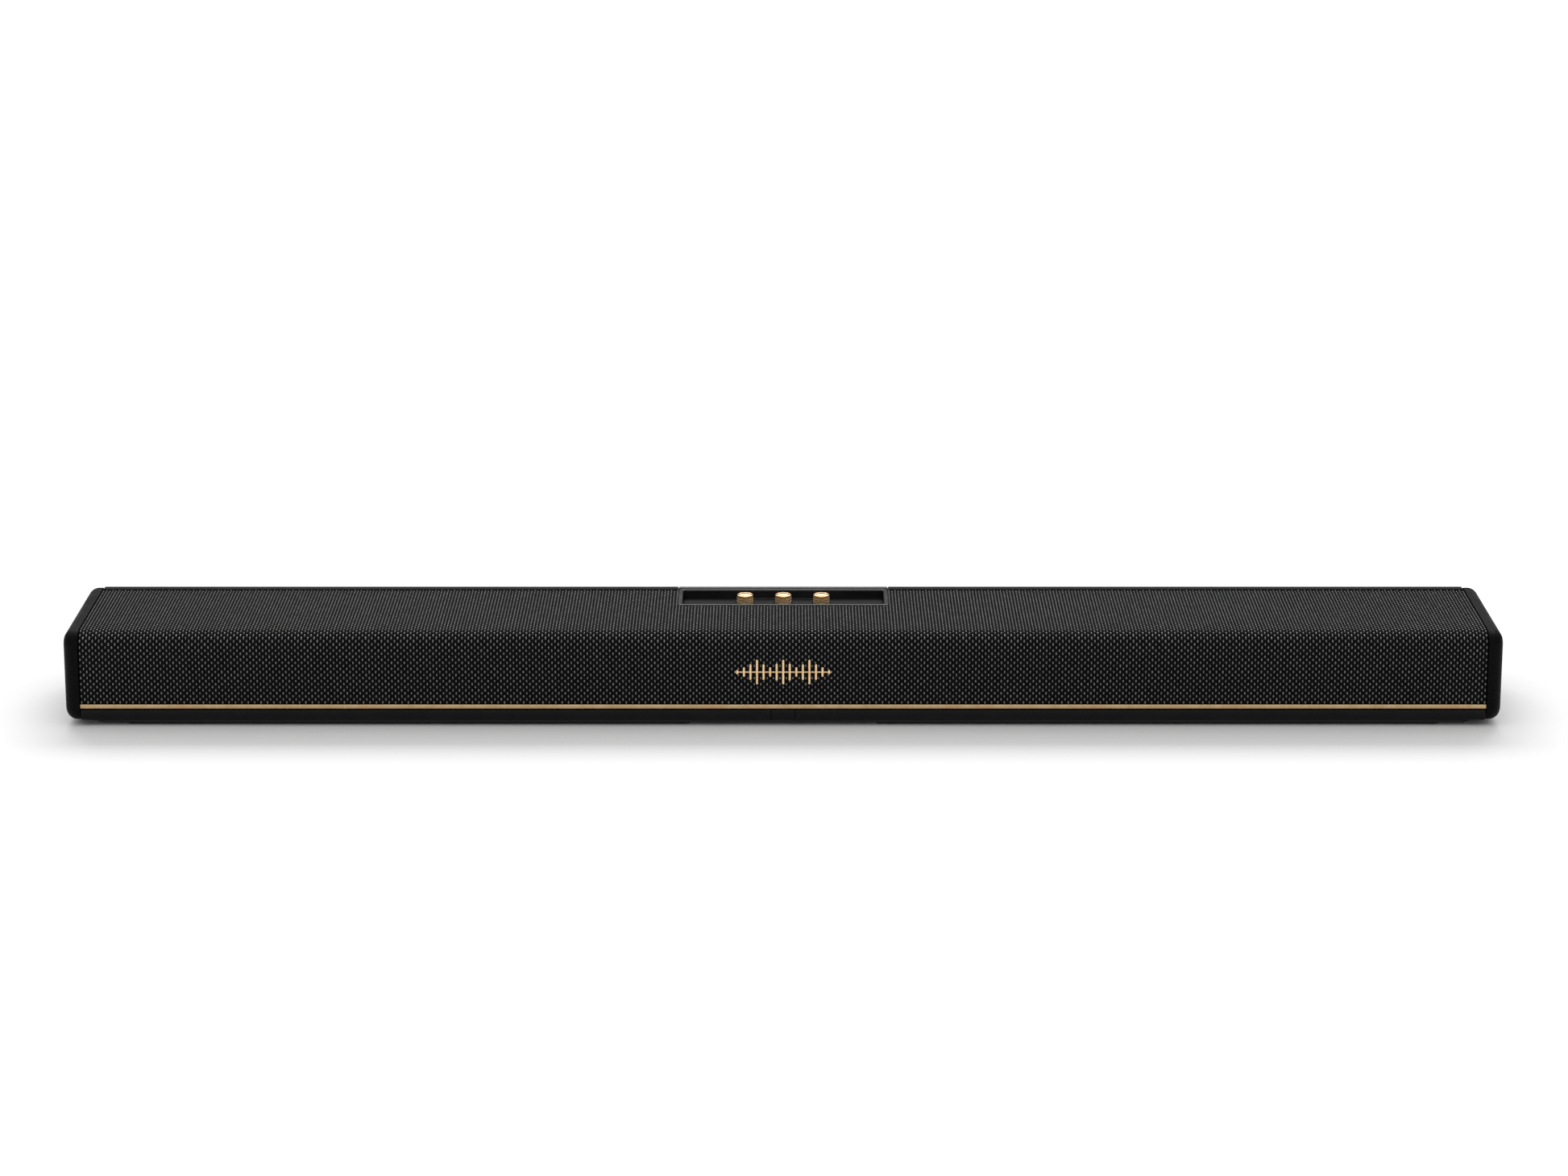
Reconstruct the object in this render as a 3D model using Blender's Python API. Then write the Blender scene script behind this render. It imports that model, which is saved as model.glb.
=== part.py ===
"""Soundbar: a long low loudspeaker with a cloth grille wrapped over its front and top, padded end caps,
a brass trim strip and a recessed panel with three push-and-turn knobs.

The front faces -Y, +X runs to the right as seen from the front, and +Z is up. The origin is on the floor under
the middle. Sizes are in millimetres, and finished() turns each shape into metres.
"""

import math

import bmesh
import bpy
from mathutils import Matrix, Vector

MM = 0.001
GAP = 0.3                      # left between parts that rest on each other

# Overall size
WIDTH = 1100.0
DEPTH = 145.0
TOP = 75.0                     # top of the end caps and of the rear rim
FRONT = -DEPTH / 2
BACK = DEPTH / 2

# End caps
CAP_WIDTH = 12.0
CAP_BOTTOM = 3.7
CAP_CORNER = 11.5              # corner of the cap seen from the side
CAP_EDGE = 8.5                 # rounding of its outer edge
CAP_WALL = 2.5
INNER_END = WIDTH / 2 - CAP_WIDTH
BAR_END = INNER_END - GAP      # where everything between the caps ends

# Cloth grille and the frame under it
CLOTH_FRONT = FRONT + 1.3
CLOTH_TOP = TOP - 0.8
CLOTH_CORNER = 12.0
CLOTH_THICK = 0.8
CLOTH_BOTTOM = 18.2
FRAME_THICK = 1.6
FRAME_FRONT = CLOTH_FRONT + CLOTH_THICK + GAP
FRAME_TOP = CLOTH_TOP - CLOTH_THICK - GAP

# Cabinet
RIM_FRONT = 57.6               # front edge of the leather-grained rear rim
RIM_ROUND = 8.0
CABINET_BOTTOM = 4.7
CABINET_WALL = 3.0
FOOT_ROUND = 4.0               # rounding of the bottom rear edge
BACK_WALL_LOW = CABINET_BOTTOM + FOOT_ROUND + GAP
BAFFLE_FRONT = -66.0
BAFFLE_WALL = 3.5
DECK_TOP = 69.0
DECK_BACK = RIM_FRONT - 0.4

# Trim, fascia, plinth and feet
TRIM_LOW, TRIM_HIGH = 14.5, 17.9
FASCIA_HIGH = 13.5
WINDOW_HALF = 9.4
PLINTH_LOW, PLINTH_HIGH = 2.0, 4.4
PLINTH_HALF = 527.0
FOOT_FROM, FOOT_TO = 70.0, 505.0
FOOT_WIDTH = 12.0
FOOT_LINES = {"front": -57.5, "rear": 55.0}

# Emblem
EMBLEM_Z = 43.8

# Control panel
PANEL_HALF = 82.5
PANEL_FRONT = 9.8
BEZEL_BAR = 3.8
PLATE_TOP = 68.3
PLATE_THICK = 1.5
WELL_BACK = 56.0
BEZEL_LOW = 60.0
KNOB_SPACING = 30.0
KNOB_Y = 41.0
KNOB_RADIUS = 6.5
KNOB_LOW, KNOB_HIGH = 66.0, 76.0
KNOB_HOLE = 7.3                # radius of the hole the knob turns in
SHAFT_RADIUS = 3.0
SHAFT_LOW, SHAFT_HIGH = 60.5, 73.0
ENCODER_LOW, ENCODER_HIGH = 57.5, 64.5
BOARD_THICK = 1.6

# Socket bay in the back wall
BAY_HALF = 112.0
BAY_LOW, BAY_HIGH = 12.0, 46.0
BAY_FLOOR = 50.0
BAY_WALL = 2.0
SOCKET_Z = 29.0
SOCKET_FRONT, SOCKET_BACK = 40.0, 54.0

# Pads for a wall bracket, each round a threaded hole
BRACKET_X = 260.0
BRACKET_Z = 38.0
BRACKET_HALF = 20.0
BRACKET_DEEP = 1.0
BRACKET_HOLE = 2.6             # radius of its threaded hole

# Bass reflex ports
PORT_X = 400.0
PORT_Z = 38.0
PORT_INNER = 14.0
PORT_FLARE = 21.0
PORT_START = 14.0

SEGMENTS = 24                  # sides of a round outline
DRIVER_SEGMENTS = 16           # sides of a driver, which the grille hides


# ---------------------------------------------------------------- outlines

def arc(centre, radius, start, end, steps=6):
    """Points along an arc in degrees, both ends included."""
    angles = [math.radians(start + (end - start) * i / steps) for i in range(steps + 1)]
    return [(centre[0] + radius * math.cos(a), centre[1] + radius * math.sin(a)) for a in angles]


def circle(radius, sides=SEGMENTS, centre=(0.0, 0.0)):
    return arc(centre, radius, 0, 360, sides)[:-1]


def rounded_rectangle(low, high, radius, steps=6):
    """Counter-clockwise rectangle between two corners, with round corners."""
    x0, y0 = low[0] + radius, low[1] + radius
    x1, y1 = high[0] - radius, high[1] - radius
    corners = [((x1, y0), -90), ((x1, y1), 0), ((x0, y1), 90), ((x0, y0), 180)]
    return [p for centre, start in corners for p in arc(centre, radius, start, start + 90, steps)]


def racetrack(length, height, sides=SEGMENTS):
    """Two half circles joined by straight runs, along X. A circle where length equals height."""
    radius = height / 2
    reach = (length - height) / 2
    half = sides // 2 - 1
    return arc((reach, 0), radius, -90, 90, half) + arc((-reach, 0), radius, 90, 270, half)


def wrapped(front, top, corner, bottom, back, thick):
    """Side profile in Y and Z of a sheet that runs up the front, round a corner and back over the top."""
    centre = (front + corner, top - corner)
    outer = [(front, bottom), *arc(centre, corner, 180, 90), (back, top)]
    inner = [(back, top - thick), *arc(centre, corner - thick, 90, 180), (front + thick, bottom)]
    return outer + inner


# ---------------------------------------------------------------- solids

def prism(outline, low, high, axis):
    """Closed outline extruded along an axis. The outline lies in the other two, in X, Y, Z order."""
    places = {
        "X": lambda u, v, w: (w, u, v),
        "Y": lambda u, v, w: (u, w, v),
        "Z": lambda u, v, w: (u, v, w),
    }[axis]
    shape = bmesh.new()
    base = shape.faces.new([shape.verts.new(places(u, v, low)) for u, v in outline])
    grown = bmesh.ops.extrude_face_region(shape, geom=[base])["geom"]
    moved = [g for g in grown if isinstance(g, bmesh.types.BMVert)]
    bmesh.ops.translate(shape, verts=moved, vec=places(0, 0, high - low))
    return shape


def block(low, high):
    return prism([(low[0], low[1]), (high[0], low[1]), (high[0], high[1]), (low[0], high[1])],
                 low[2], high[2], "Z")


def together(*shapes):
    """Several shapes that don't touch, as one mesh, for a single cut."""
    whole = bmesh.new()
    for shape in shapes:
        held = bpy.data.meshes.new("held")
        shape.to_mesh(held)
        whole.from_mesh(held)
        bpy.data.meshes.remove(held)
        shape.free()
    return whole


def loft(rings, closed=False):
    """Skin over rings of equal length. The first and last are capped, or joined if closed."""
    shape = bmesh.new()
    rows = [[shape.verts.new(p) for p in ring] for ring in rings]
    pairs = list(zip(rows, rows[1:] + rows[:1])) if closed else list(zip(rows, rows[1:]))
    for a, b in pairs:
        for i in range(len(a)):
            j = (i + 1) % len(a)
            shape.faces.new((a[i], a[j], b[j], b[i]))
    if not closed:
        shape.faces.new(rows[0][::-1])
        shape.faces.new(rows[-1])
    return shape


def turned(profile, sides=SEGMENTS):
    """Profile of (radius, height) turned about Z, from its lower middle to its upper middle."""
    return loft([[(x, y, z) for x, y in circle(r, sides)] for r, z in profile])


# ---------------------------------------------------------------- objects

def clear_scene():
    for old in list(bpy.data.objects):
        bpy.data.objects.remove(old, do_unlink=True)


def finish_of(name, colour, roughness, metallic=0.0):
    made = bpy.data.materials.get(name) or bpy.data.materials.new(name)
    made.use_nodes = True
    shader = made.node_tree.nodes["Principled BSDF"]
    shader.inputs["Base Color"].default_value = (*colour, 1.0)
    shader.inputs["Roughness"].default_value = roughness
    shader.inputs["Metallic"].default_value = metallic
    made.diffuse_color = (*colour, 1.0)
    return made


FINISHES = {
    "leather": ((0.012, 0.012, 0.013), 0.55),
    "moulding": ((0.010, 0.010, 0.011), 0.5),
    "gloss": ((0.006, 0.006, 0.007), 0.15),
    "cloth": ((0.030, 0.030, 0.032), 0.9),
    "brass": ((0.72, 0.50, 0.25), 0.28, 1.0),
    "brushed": ((0.03, 0.03, 0.032), 0.35, 0.8),
    "rubber": ((0.015, 0.015, 0.015), 0.8),
    "steel": ((0.45, 0.45, 0.47), 0.35, 1.0),
    "board": ((0.01, 0.09, 0.04), 0.5),
    "paper": ((0.03, 0.03, 0.033), 0.85),
}


def finished(name, shape, finish, location=(0.0, 0.0, 0.0), parent=None):
    """Turns a shape in millimetres into a named object in metres, with its material."""
    bmesh.ops.recalc_face_normals(shape, faces=shape.faces)
    shape.transform(Matrix.Scale(MM, 4))
    mesh = bpy.data.meshes.new(name)
    shape.to_mesh(mesh)
    shape.free()
    mesh.shade_smooth()
    mesh.set_sharp_from_angle(angle=math.radians(35))
    mesh.materials.append(finish_of(finish, *FINISHES[finish]))
    made = bpy.data.objects.new(name, mesh)
    bpy.context.scene.collection.objects.link(made)
    made.parent = parent
    made.location = Vector(location) * MM
    return made


def anchor(name, location, turn=(0.0, 0.0, 0.0)):
    """Empty that carries the parts which share its place or its joint axis."""
    made = bpy.data.objects.new(name, None)
    bpy.context.scene.collection.objects.link(made)
    made.location = Vector(location) * MM
    made.rotation_euler = turn
    return made


def shaped_by(target, shape, operation, finish="moulding"):
    """Cuts a shape from the target, joins it on, or keeps only what both hold."""
    tool = finished(f"tool_{len(bpy.data.objects)}", shape, finish)
    tool.parent = target.parent
    tool.location = target.location
    tool.hide_render = True
    tool.display_type = "WIRE"
    modifier = target.modifiers.new(operation.title(), "BOOLEAN")
    modifier.operation = operation
    modifier.solver = "EXACT"
    modifier.object = tool


def cut(target, *shapes):
    shaped_by(target, together(*shapes), "DIFFERENCE")


def join(target, *shapes):
    for shape in shapes:
        shaped_by(target, shape, "UNION")


# ---------------------------------------------------------------- end caps

def end_cap(side):
    """Padded cap: a shell whose outer edge is rounded all the way round."""
    steps = 6

    def ring(x, inset):
        low = (FRONT + inset, CAP_BOTTOM + inset)
        high = (BACK - inset, TOP - inset)
        outline = rounded_rectangle(low, high, CAP_CORNER - inset, 5)
        return [(side * x, y, z) for y, z in outline]

    def rounding(edge, flat_x, inset, order):
        turns = [math.pi / 2 * i / steps for i in order]
        return [ring(flat_x + edge * math.sin(t), inset + edge * (1 - math.cos(t))) for t in turns]

    flat = WIDTH / 2 - CAP_EDGE
    inner_edge = CAP_EDGE - CAP_WALL
    inside = rounding(inner_edge, flat, CAP_WALL, range(steps, -1, -1))
    outside = rounding(CAP_EDGE, flat, 0.0, range(steps + 1))
    rings = [*inside, ring(INNER_END, CAP_WALL), ring(INNER_END, 0.0), *outside]
    name = "end_cap_left" if side < 0 else "end_cap_right"
    finished(name, loft(rings), "leather")


# ---------------------------------------------------------------- cabinet

DRIVERS = {
    # name: (x, length, height, depth, coil radius, travel, roll, faces up)
    "centre_driver": (0.0, 84.0, 44.0, 34.0, 9.0, 1.5, 3.5, False),
    "woofer_left": (-165.0, 120.0, 46.0, 40.0, 12.0, 2.0, 4.3, False),
    "woofer_right": (165.0, 120.0, 46.0, 40.0, 12.0, 2.0, 4.3, False),
    "mid_left": (-290.0, 74.0, 46.0, 34.0, 9.5, 1.5, 3.8, False),
    "mid_right": (290.0, 74.0, 46.0, 34.0, 9.5, 1.5, 3.8, False),
    "tweeter_left": (-372.0, 34.0, 34.0, 20.0, 10.0, 0.4, 1.6, False),
    "tweeter_right": (372.0, 34.0, 34.0, 20.0, 10.0, 0.4, 1.6, False),
    "height_driver_left": (-460.0, 52.0, 52.0, 34.0, 9.5, 1.2, 3.5, True),
    "height_driver_right": (460.0, 52.0, 52.0, 34.0, 9.5, 1.2, 3.5, True),
}
DRIVER_Z = 41.0                # height of the front drivers' axes
HEIGHT_DRIVER_Y = -8.0
FLANGE_LAP = 2.4               # how far a flange laps over its hole


def driver_hole(x, length, height, faces_up):
    """Cutter for a driver's hole in the front wall or in the top deck."""
    track = racetrack(length - 2 * FLANGE_LAP, height - 2 * FLANGE_LAP)
    if faces_up:
        outline = [(x + u, HEIGHT_DRIVER_Y + v) for u, v in track]
        return prism(outline, DECK_TOP - 6, DECK_TOP + 2, "Z")
    outline = [(x + u, DRIVER_Z + v) for u, v in track]
    return prism(outline, BAFFLE_FRONT - 2, BAFFLE_FRONT + 6, "Y")


def panel_notch(edge, low, high):
    """Cutter for the place of the control panel, open towards the back."""
    return block((-PANEL_HALF - edge, PANEL_FRONT - edge, low), (PANEL_HALF + edge, BACK + 5, high))


def front_baffle():
    """Front wall and top deck that carry the drivers."""
    profile = wrapped(BAFFLE_FRONT, DECK_TOP, 5.0, CABINET_BOTTOM + CABINET_WALL + GAP, DECK_BACK, BAFFLE_WALL)
    baffle = finished("front_baffle", prism(profile, -BAR_END + 1, BAR_END - 1, "X"), "moulding")
    holes = [driver_hole(x, length, height, up) for x, length, height, _, _, _, _, up in DRIVERS.values()]
    cut(baffle, panel_notch(0.5, DECK_TOP - 8, TOP), *holes)


def cabinet_tray():
    """Bottom of the cabinet, with a rounded rear edge and an end wall at each side."""
    wall, low = CABINET_WALL, CABINET_BOTTOM
    foot = (BACK - FOOT_ROUND, low + FOOT_ROUND)
    profile = [
        (BAFFLE_FRONT, low), *arc(foot, FOOT_ROUND, -90, 0, 3), *arc(foot, FOOT_ROUND - wall, 0, -90, 2),
        (BAFFLE_FRONT, low + wall),
    ]
    tray = finished("cabinet_tray", prism(profile, -BAR_END, BAR_END, "X"), "leather")
    for side in (-1, 1):
        xs = sorted((side * BAR_END, side * (BAR_END - wall)))
        low_corner = (xs[0], BAFFLE_FRONT + BAFFLE_WALL + 0.6, low + 1)
        join(tray, block(low_corner, (xs[1], BACK - wall - GAP, DECK_TOP - 4 - GAP)))


def rear_cabinet():
    """Back wall and rounded rear rim."""
    wall = CABINET_WALL
    centre = (BACK - RIM_ROUND, TOP - RIM_ROUND)
    profile = [
        (BACK, BACK_WALL_LOW), *arc(centre, RIM_ROUND, 0, 90),
        (RIM_FRONT, TOP), (RIM_FRONT, DECK_TOP - 4), (RIM_FRONT + wall, DECK_TOP - 4),
        (RIM_FRONT + wall, TOP - wall), *arc(centre, RIM_ROUND - wall, 90, 0), (BACK - wall, BACK_WALL_LOW),
    ]
    cabinet = finished("rear_cabinet", prism(profile, -BAR_END, BAR_END, "X"), "leather")
    bay = block((-BAY_HALF, BAY_FLOOR, BACK_WALL_LOW - 5), (BAY_HALF, BACK + 5, BAY_HIGH))
    ports = [
        prism(circle(PORT_FLARE + GAP, centre=(side * PORT_X, PORT_Z)), BACK - 6, BACK + 5, "Y")
        for side in (-1, 1)
    ]
    notch = block((-PANEL_HALF - 0.6, RIM_FRONT - 5, BEZEL_LOW - GAP), (PANEL_HALF + 0.6, BACK + 5, TOP + 5))
    brackets = []
    for side in (-1, 1):
        x = side * BRACKET_X
        low_corner = (x - BRACKET_HALF, BACK - BRACKET_DEEP, BRACKET_Z - 8)
        brackets.append(block(low_corner, (x + BRACKET_HALF, BACK + 5, BRACKET_Z + 8)))
        brackets.append(prism(circle(BRACKET_HOLE, 12, (x, BRACKET_Z)), BACK - 5, BACK - 0.5, "Y"))
    cut(cabinet, bay, notch, *ports)
    for bracket in brackets:
        cut(cabinet, bracket)


def bass_port(side):
    """Flared tube that lets the cabinet breathe at the back."""
    wall = 2.0
    outer_end = BACK - GAP
    bore = [(PORT_INNER + 3, PORT_START), (PORT_INNER, PORT_START + 8), (PORT_INNER, outer_end - 12)]
    flare = [(PORT_INNER + 1.8, outer_end - 5), (PORT_INNER + 5.2, outer_end)]
    outside = [
        (PORT_FLARE, outer_end), (PORT_FLARE, outer_end - 2), (PORT_INNER + wall, outer_end - 11),
        (PORT_INNER + wall, PORT_START + 7), (PORT_INNER + 3 + wall, PORT_START),
    ]
    rings = [
        [(side * PORT_X + x, y, PORT_Z + z) for x, z in circle(r)]
        for r, y in bore + flare + outside
    ]
    name = "bass_port_left" if side < 0 else "bass_port_right"
    finished(name, loft(rings, closed=True), "moulding")


# ---------------------------------------------------------------- grille, trim and plinth

def grille_cloth():
    profile = wrapped(CLOTH_FRONT, CLOTH_TOP, CLOTH_CORNER, CLOTH_BOTTOM, RIM_FRONT - 0.5, CLOTH_THICK)
    cloth = finished("grille_cloth", prism(profile, -BAR_END, BAR_END, "X"), "cloth")
    cut(cloth, panel_notch(0.4, CLOTH_TOP - 8, TOP + 5))


def grille_frame():
    """Stiff carrier under the cloth, open in front of and above the drivers."""
    back = RIM_FRONT - 0.6
    corner = CLOTH_CORNER - CLOTH_THICK - GAP
    profile = wrapped(FRAME_FRONT, FRAME_TOP, corner, CLOTH_BOTTOM, back, FRAME_THICK)
    frame = finished("grille_frame", prism(profile, -BAR_END, BAR_END, "X"), "moulding")
    count, rib, margin = 16, 7.0, 5.0
    pitch = 2 * (BAR_END - margin) / count
    windows = []
    for i in range(count):
        start = -BAR_END + margin + i * pitch + rib / 2
        end = start + pitch - rib
        windows.append(block((start, FRAME_FRONT - 2, CLOTH_BOTTOM + 3), (end, FRAME_FRONT + 3, 62.0)))
        if min(abs(start), abs(end)) > PANEL_HALF + 4:
            windows.append(block((start, -57.0, FRAME_TOP - 4), (end, back - 6, FRAME_TOP + 2)))
        else:
            windows.append(block((start, -57.0, FRAME_TOP - 4), (end, PANEL_FRONT - 8, FRAME_TOP + 2)))
    cut(frame, panel_notch(0.6, FRAME_TOP - 8, TOP + 5), *windows)


def brass_trim():
    """Strip with a rib behind it that snaps in under the grille frame."""
    low, high = TRIM_LOW, TRIM_HIGH
    middle = (low + high) / 2
    front, back = CLOTH_FRONT - 0.7, CLOTH_FRONT + 1.4
    profile = [
        (front + 0.4, low), (back, low), (back, middle - 0.8), (BAFFLE_FRONT - GAP, middle - 0.8),
        (BAFFLE_FRONT - GAP, middle + 0.8), (back, middle + 0.8), (back, high), (front + 0.4, high),
        (front, high - 0.4), (front, low + 0.4),
    ]
    finished("brass_trim", prism(profile, -BAR_END, BAR_END, "X"), "brass")


def fascia():
    """Lower front band in two lengths, with the receiver window between them."""
    low, high = CABINET_BOTTOM, FASCIA_HIGH
    front = CLOTH_FRONT
    back = BAFFLE_FRONT - GAP
    face = [(front + 0.05, high - 0.6), (front + 0.15, high - 4), (front + 0.7, high - 6.6)]
    profile = [
        (back, high), (front + 0.7, high), *face, *arc((front + 2.9, low + 1.8), 1.8, 190, 270, 3),
        (back, low), (back, low + 1.8), (front + 4.2, low + 1.8), (front + 2.6, low + 3),
        (front + 2.2, high - 2), (back, high - 2),
    ]
    spans = {
        "fascia_left": (-BAR_END, -WINDOW_HALF, "moulding"),
        "receiver_window": (-WINDOW_HALF + GAP, WINDOW_HALF - GAP, "gloss"),
        "fascia_right": (WINDOW_HALF, BAR_END, "moulding"),
    }
    for name, (start, end, finish) in spans.items():
        finished(name, prism(profile, start, end, "X"), finish)


def base_plate():
    low = (-PLINTH_HALF, FRONT + 6.0)
    high = (PLINTH_HALF, BACK - 6.0)
    finished("base_plate", prism(rounded_rectangle(low, high, 8.0), PLINTH_LOW, PLINTH_HIGH, "Z"), "moulding")


def foot(line, y, side):
    """Long rubber pad with round ends."""
    length = FOOT_TO - FOOT_FROM
    middle = side * (FOOT_FROM + FOOT_TO) / 2
    pad = prism(racetrack(length, FOOT_WIDTH), 0.0, PLINTH_LOW - GAP, "Z")
    name = f"foot_{line}_{'left' if side < 0 else 'right'}"
    finished(name, pad, "rubber", (middle, y, 0.0))


def emblem():
    """Plain badge: a level bar crossed by upright bars of rising and falling height, like a sound wave."""
    heights = [4, 8, 13, 20, 13, 8, 14, 20, 14, 8, 13, 20, 13, 8, 4]
    pitch, width = 5.0, 2.0
    reach = pitch * (len(heights) - 1) / 2
    badge = finished(
        "emblem", block((-reach - 2, -0.5, -0.5), (reach + 2, 0.5, 0.5)), "brass",
        (0.0, FRONT + 0.5, EMBLEM_Z),
    )
    for i, tall in enumerate(heights):
        x = i * pitch - reach
        bar = prism(racetrack(tall, width, 8), -0.5, 0.5, "Y")
        bmesh.ops.rotate(bar, verts=bar.verts, matrix=Matrix.Rotation(math.pi / 2, 3, "Y"))
        bmesh.ops.translate(bar, verts=bar.verts, vec=(x, 0, 0))
        join(badge, bar)


# ---------------------------------------------------------------- control panel

def knob_places():
    return {"left": -KNOB_SPACING, "middle": 0.0, "right": KNOB_SPACING}


def control_bezel():
    """Tub that holds the control plate, with a raised lip and a rear end rounded like the rim beside it."""
    half, low = PANEL_HALF, BEZEL_LOW
    front_corners = [*arc((-half + 5, PANEL_FRONT + 5), 5, 180, 270), *arc((half - 5, PANEL_FRONT + 5), 5, -90, 0)]
    outline = [*front_corners, (half, BACK), (-half, BACK)]
    bezel = finished("control_bezel", prism(outline, low, TOP, "Z"), "moulding")
    side_view = [
        (PANEL_FRONT - 5, low - 5), (BACK, low - 5),
        *arc((BACK - RIM_ROUND, TOP - RIM_ROUND), RIM_ROUND, 0, 90), (PANEL_FRONT - 5, TOP),
    ]
    shaped_by(bezel, prism(side_view, -half - 5, half + 5, "X"), "INTERSECT")
    floor = PLATE_TOP - PLATE_THICK - GAP
    well = prism(
        rounded_rectangle((-half + BEZEL_BAR, PANEL_FRONT + BEZEL_BAR), (half - BEZEL_BAR, WELL_BACK), 2.0, 3),
        floor, TOP + 5, "Z",
    )
    under = block((-half + 2.5, PANEL_FRONT + 2.5, low - 5), (half - 2.5, BACK - 3, floor - 1.6))
    seam = block((-half + BEZEL_BAR, WELL_BACK + 4.5, TOP - 1.2), (half - BEZEL_BAR, WELL_BACK + 5.5, TOP + 5))
    holes = [
        prism(circle(KNOB_HOLE, centre=(x, KNOB_Y)), floor - 4, floor + 1, "Z")
        for x in knob_places().values()
    ]
    cut(bezel, well)
    cut(bezel, under, seam)
    cut(bezel, *holes)


def control_plate():
    clear = BEZEL_BAR + GAP
    outline = rounded_rectangle(
        (-PANEL_HALF + clear, PANEL_FRONT + clear), (PANEL_HALF - clear, WELL_BACK - GAP), 1.7, 3
    )
    plate = finished("control_plate", prism(outline, PLATE_TOP - PLATE_THICK, PLATE_TOP, "Z"), "brushed")
    cut(plate, *[
        prism(circle(KNOB_HOLE, centre=(x, KNOB_Y)), PLATE_TOP - 4, PLATE_TOP + 2, "Z")
        for x in knob_places().values()
    ])


def control_board():
    low = ENCODER_LOW - GAP - BOARD_THICK
    board = finished("control_board", block((-66, 20, low), (66, 56, low + BOARD_THICK)), "board")
    for side in (-1, 1):
        xs = sorted((side * 48, side * 62))
        join(board, block((xs[0], 28, low + 1), (xs[1], 36, low + BOARD_THICK + 3)))


def knob(place, x):
    """Knurled knob on its encoder: the shaft turns with the knob, and both press the plunger."""
    axis = anchor(f"axis_{place}", (x, KNOB_Y, 0.0))
    r, low, high = KNOB_RADIUS, KNOB_LOW, KNOB_HIGH
    profile = [
        (r - 0.6, low), (r, low + 0.6), (r, high - 2.6), (r - 0.5, high - 1.6), (r - 1.6, high - 0.8),
        (r - 2.2, high - 0.9), (r - 3.4, high - 0.25), (1.2, high),
    ]
    cap = finished(f"knob_{place}", turned(profile), "brass", parent=axis)
    cut(cap, prism(circle(SHAFT_RADIUS + GAP, 16), low - 2, SHAFT_HIGH + 0.5, "Z"))
    shaft = turned([(SHAFT_RADIUS - 0.4, SHAFT_LOW), (SHAFT_RADIUS, SHAFT_LOW + 0.4), (SHAFT_RADIUS, SHAFT_HIGH)], 16)
    finished(f"encoder_shaft_{place}", shaft, "steel", parent=axis)
    body = block((-6.2, -6.5, ENCODER_LOW), (6.2, 6.5, ENCODER_HIGH))
    case = finished(f"encoder_body_{place}", body, "steel", parent=axis)
    cut(case, prism(circle(SHAFT_RADIUS + 0.5, 16), ENCODER_LOW + 0.8, ENCODER_HIGH + 2, "Z"))
    plunger_high = SHAFT_LOW - GAP
    disc = prism(circle(SHAFT_RADIUS - 0.2, 16), plunger_high - 0.8, plunger_high, "Z")
    finished(f"encoder_plunger_{place}", disc, "moulding", parent=axis)


# ---------------------------------------------------------------- drivers

def driver(name, x, length, height, depth, coil, travel, roll, faces_up):
    """Basket with its magnet, and the cone that slides in it. Local +Z is the way the driver faces."""
    if faces_up:
        seat = anchor(f"seat_{name}", (x, HEIGHT_DRIVER_Y, DECK_TOP))
    else:
        seat = anchor(f"seat_{name}", (x, BAFFLE_FRONT, DRIVER_Z), (math.pi / 2, 0.0, 0.0))
    magnet = min(height / 2 - 4.0, coil + 8.0)
    flange_top = 1.9
    wall_low = -(2.4 + travel)
    plate = -depth + 10.0

    def track(inset, z):
        return [(u, v, z) for u, v in racetrack(length - 2 * inset, height - 2 * inset, DRIVER_SEGMENTS)]

    def round_at(radius, z):
        return [(u, v, z) for u, v in racetrack(2 * radius, 2 * radius, DRIVER_SEGMENTS)]

    basket = [
        round_at(coil + 0.9, -depth + 2.0), round_at(coil + 0.9, plate), round_at(magnet - 1.5, plate + 0.6),
        track(5.2, wall_low - 2.5), track(4.0, wall_low), track(4.0, flange_top),
        track(0.0, flange_top), track(0.0, GAP), track(FLANGE_LAP + 0.3, GAP), track(FLANGE_LAP + 0.3, wall_low),
        track(3.6, wall_low - 3.5), round_at(magnet, plate - 0.6), round_at(magnet, -depth),
    ]
    finished(f"{name}_basket", loft(basket), "steel", parent=seat)
    coil_low = -depth + 2.0 + travel + 0.8
    edge, crest, hinge = 4.5, 4.5 + roll / 2, 4.5 + roll
    if name.startswith("tweeter"):
        front = [round_at(2.5, 1.0), round_at(6.5, 0.2), round_at(9.6, -1.2)]
        back = [round_at(coil, -2.6)]
    else:
        cap_z = -depth * 0.42
        front = [
            round_at(coil * 0.35, cap_z + 3.0), round_at(coil * 0.75, cap_z + 2.0), round_at(coil + 0.6, cap_z),
        ]
        back = [round_at(coil, cap_z - 1.2)]
    surround = [track(hinge, -1.3), track(crest, 0.0), track(edge, -1.0), track(edge, -1.6), track(crest, -0.9),
                track(hinge, -2.2)]
    cone = [*front, *surround, *back, round_at(coil, coil_low)]
    finished(f"{name}_cone", loft(cone), "paper", parent=seat)


# ---------------------------------------------------------------- sockets and boards

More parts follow.
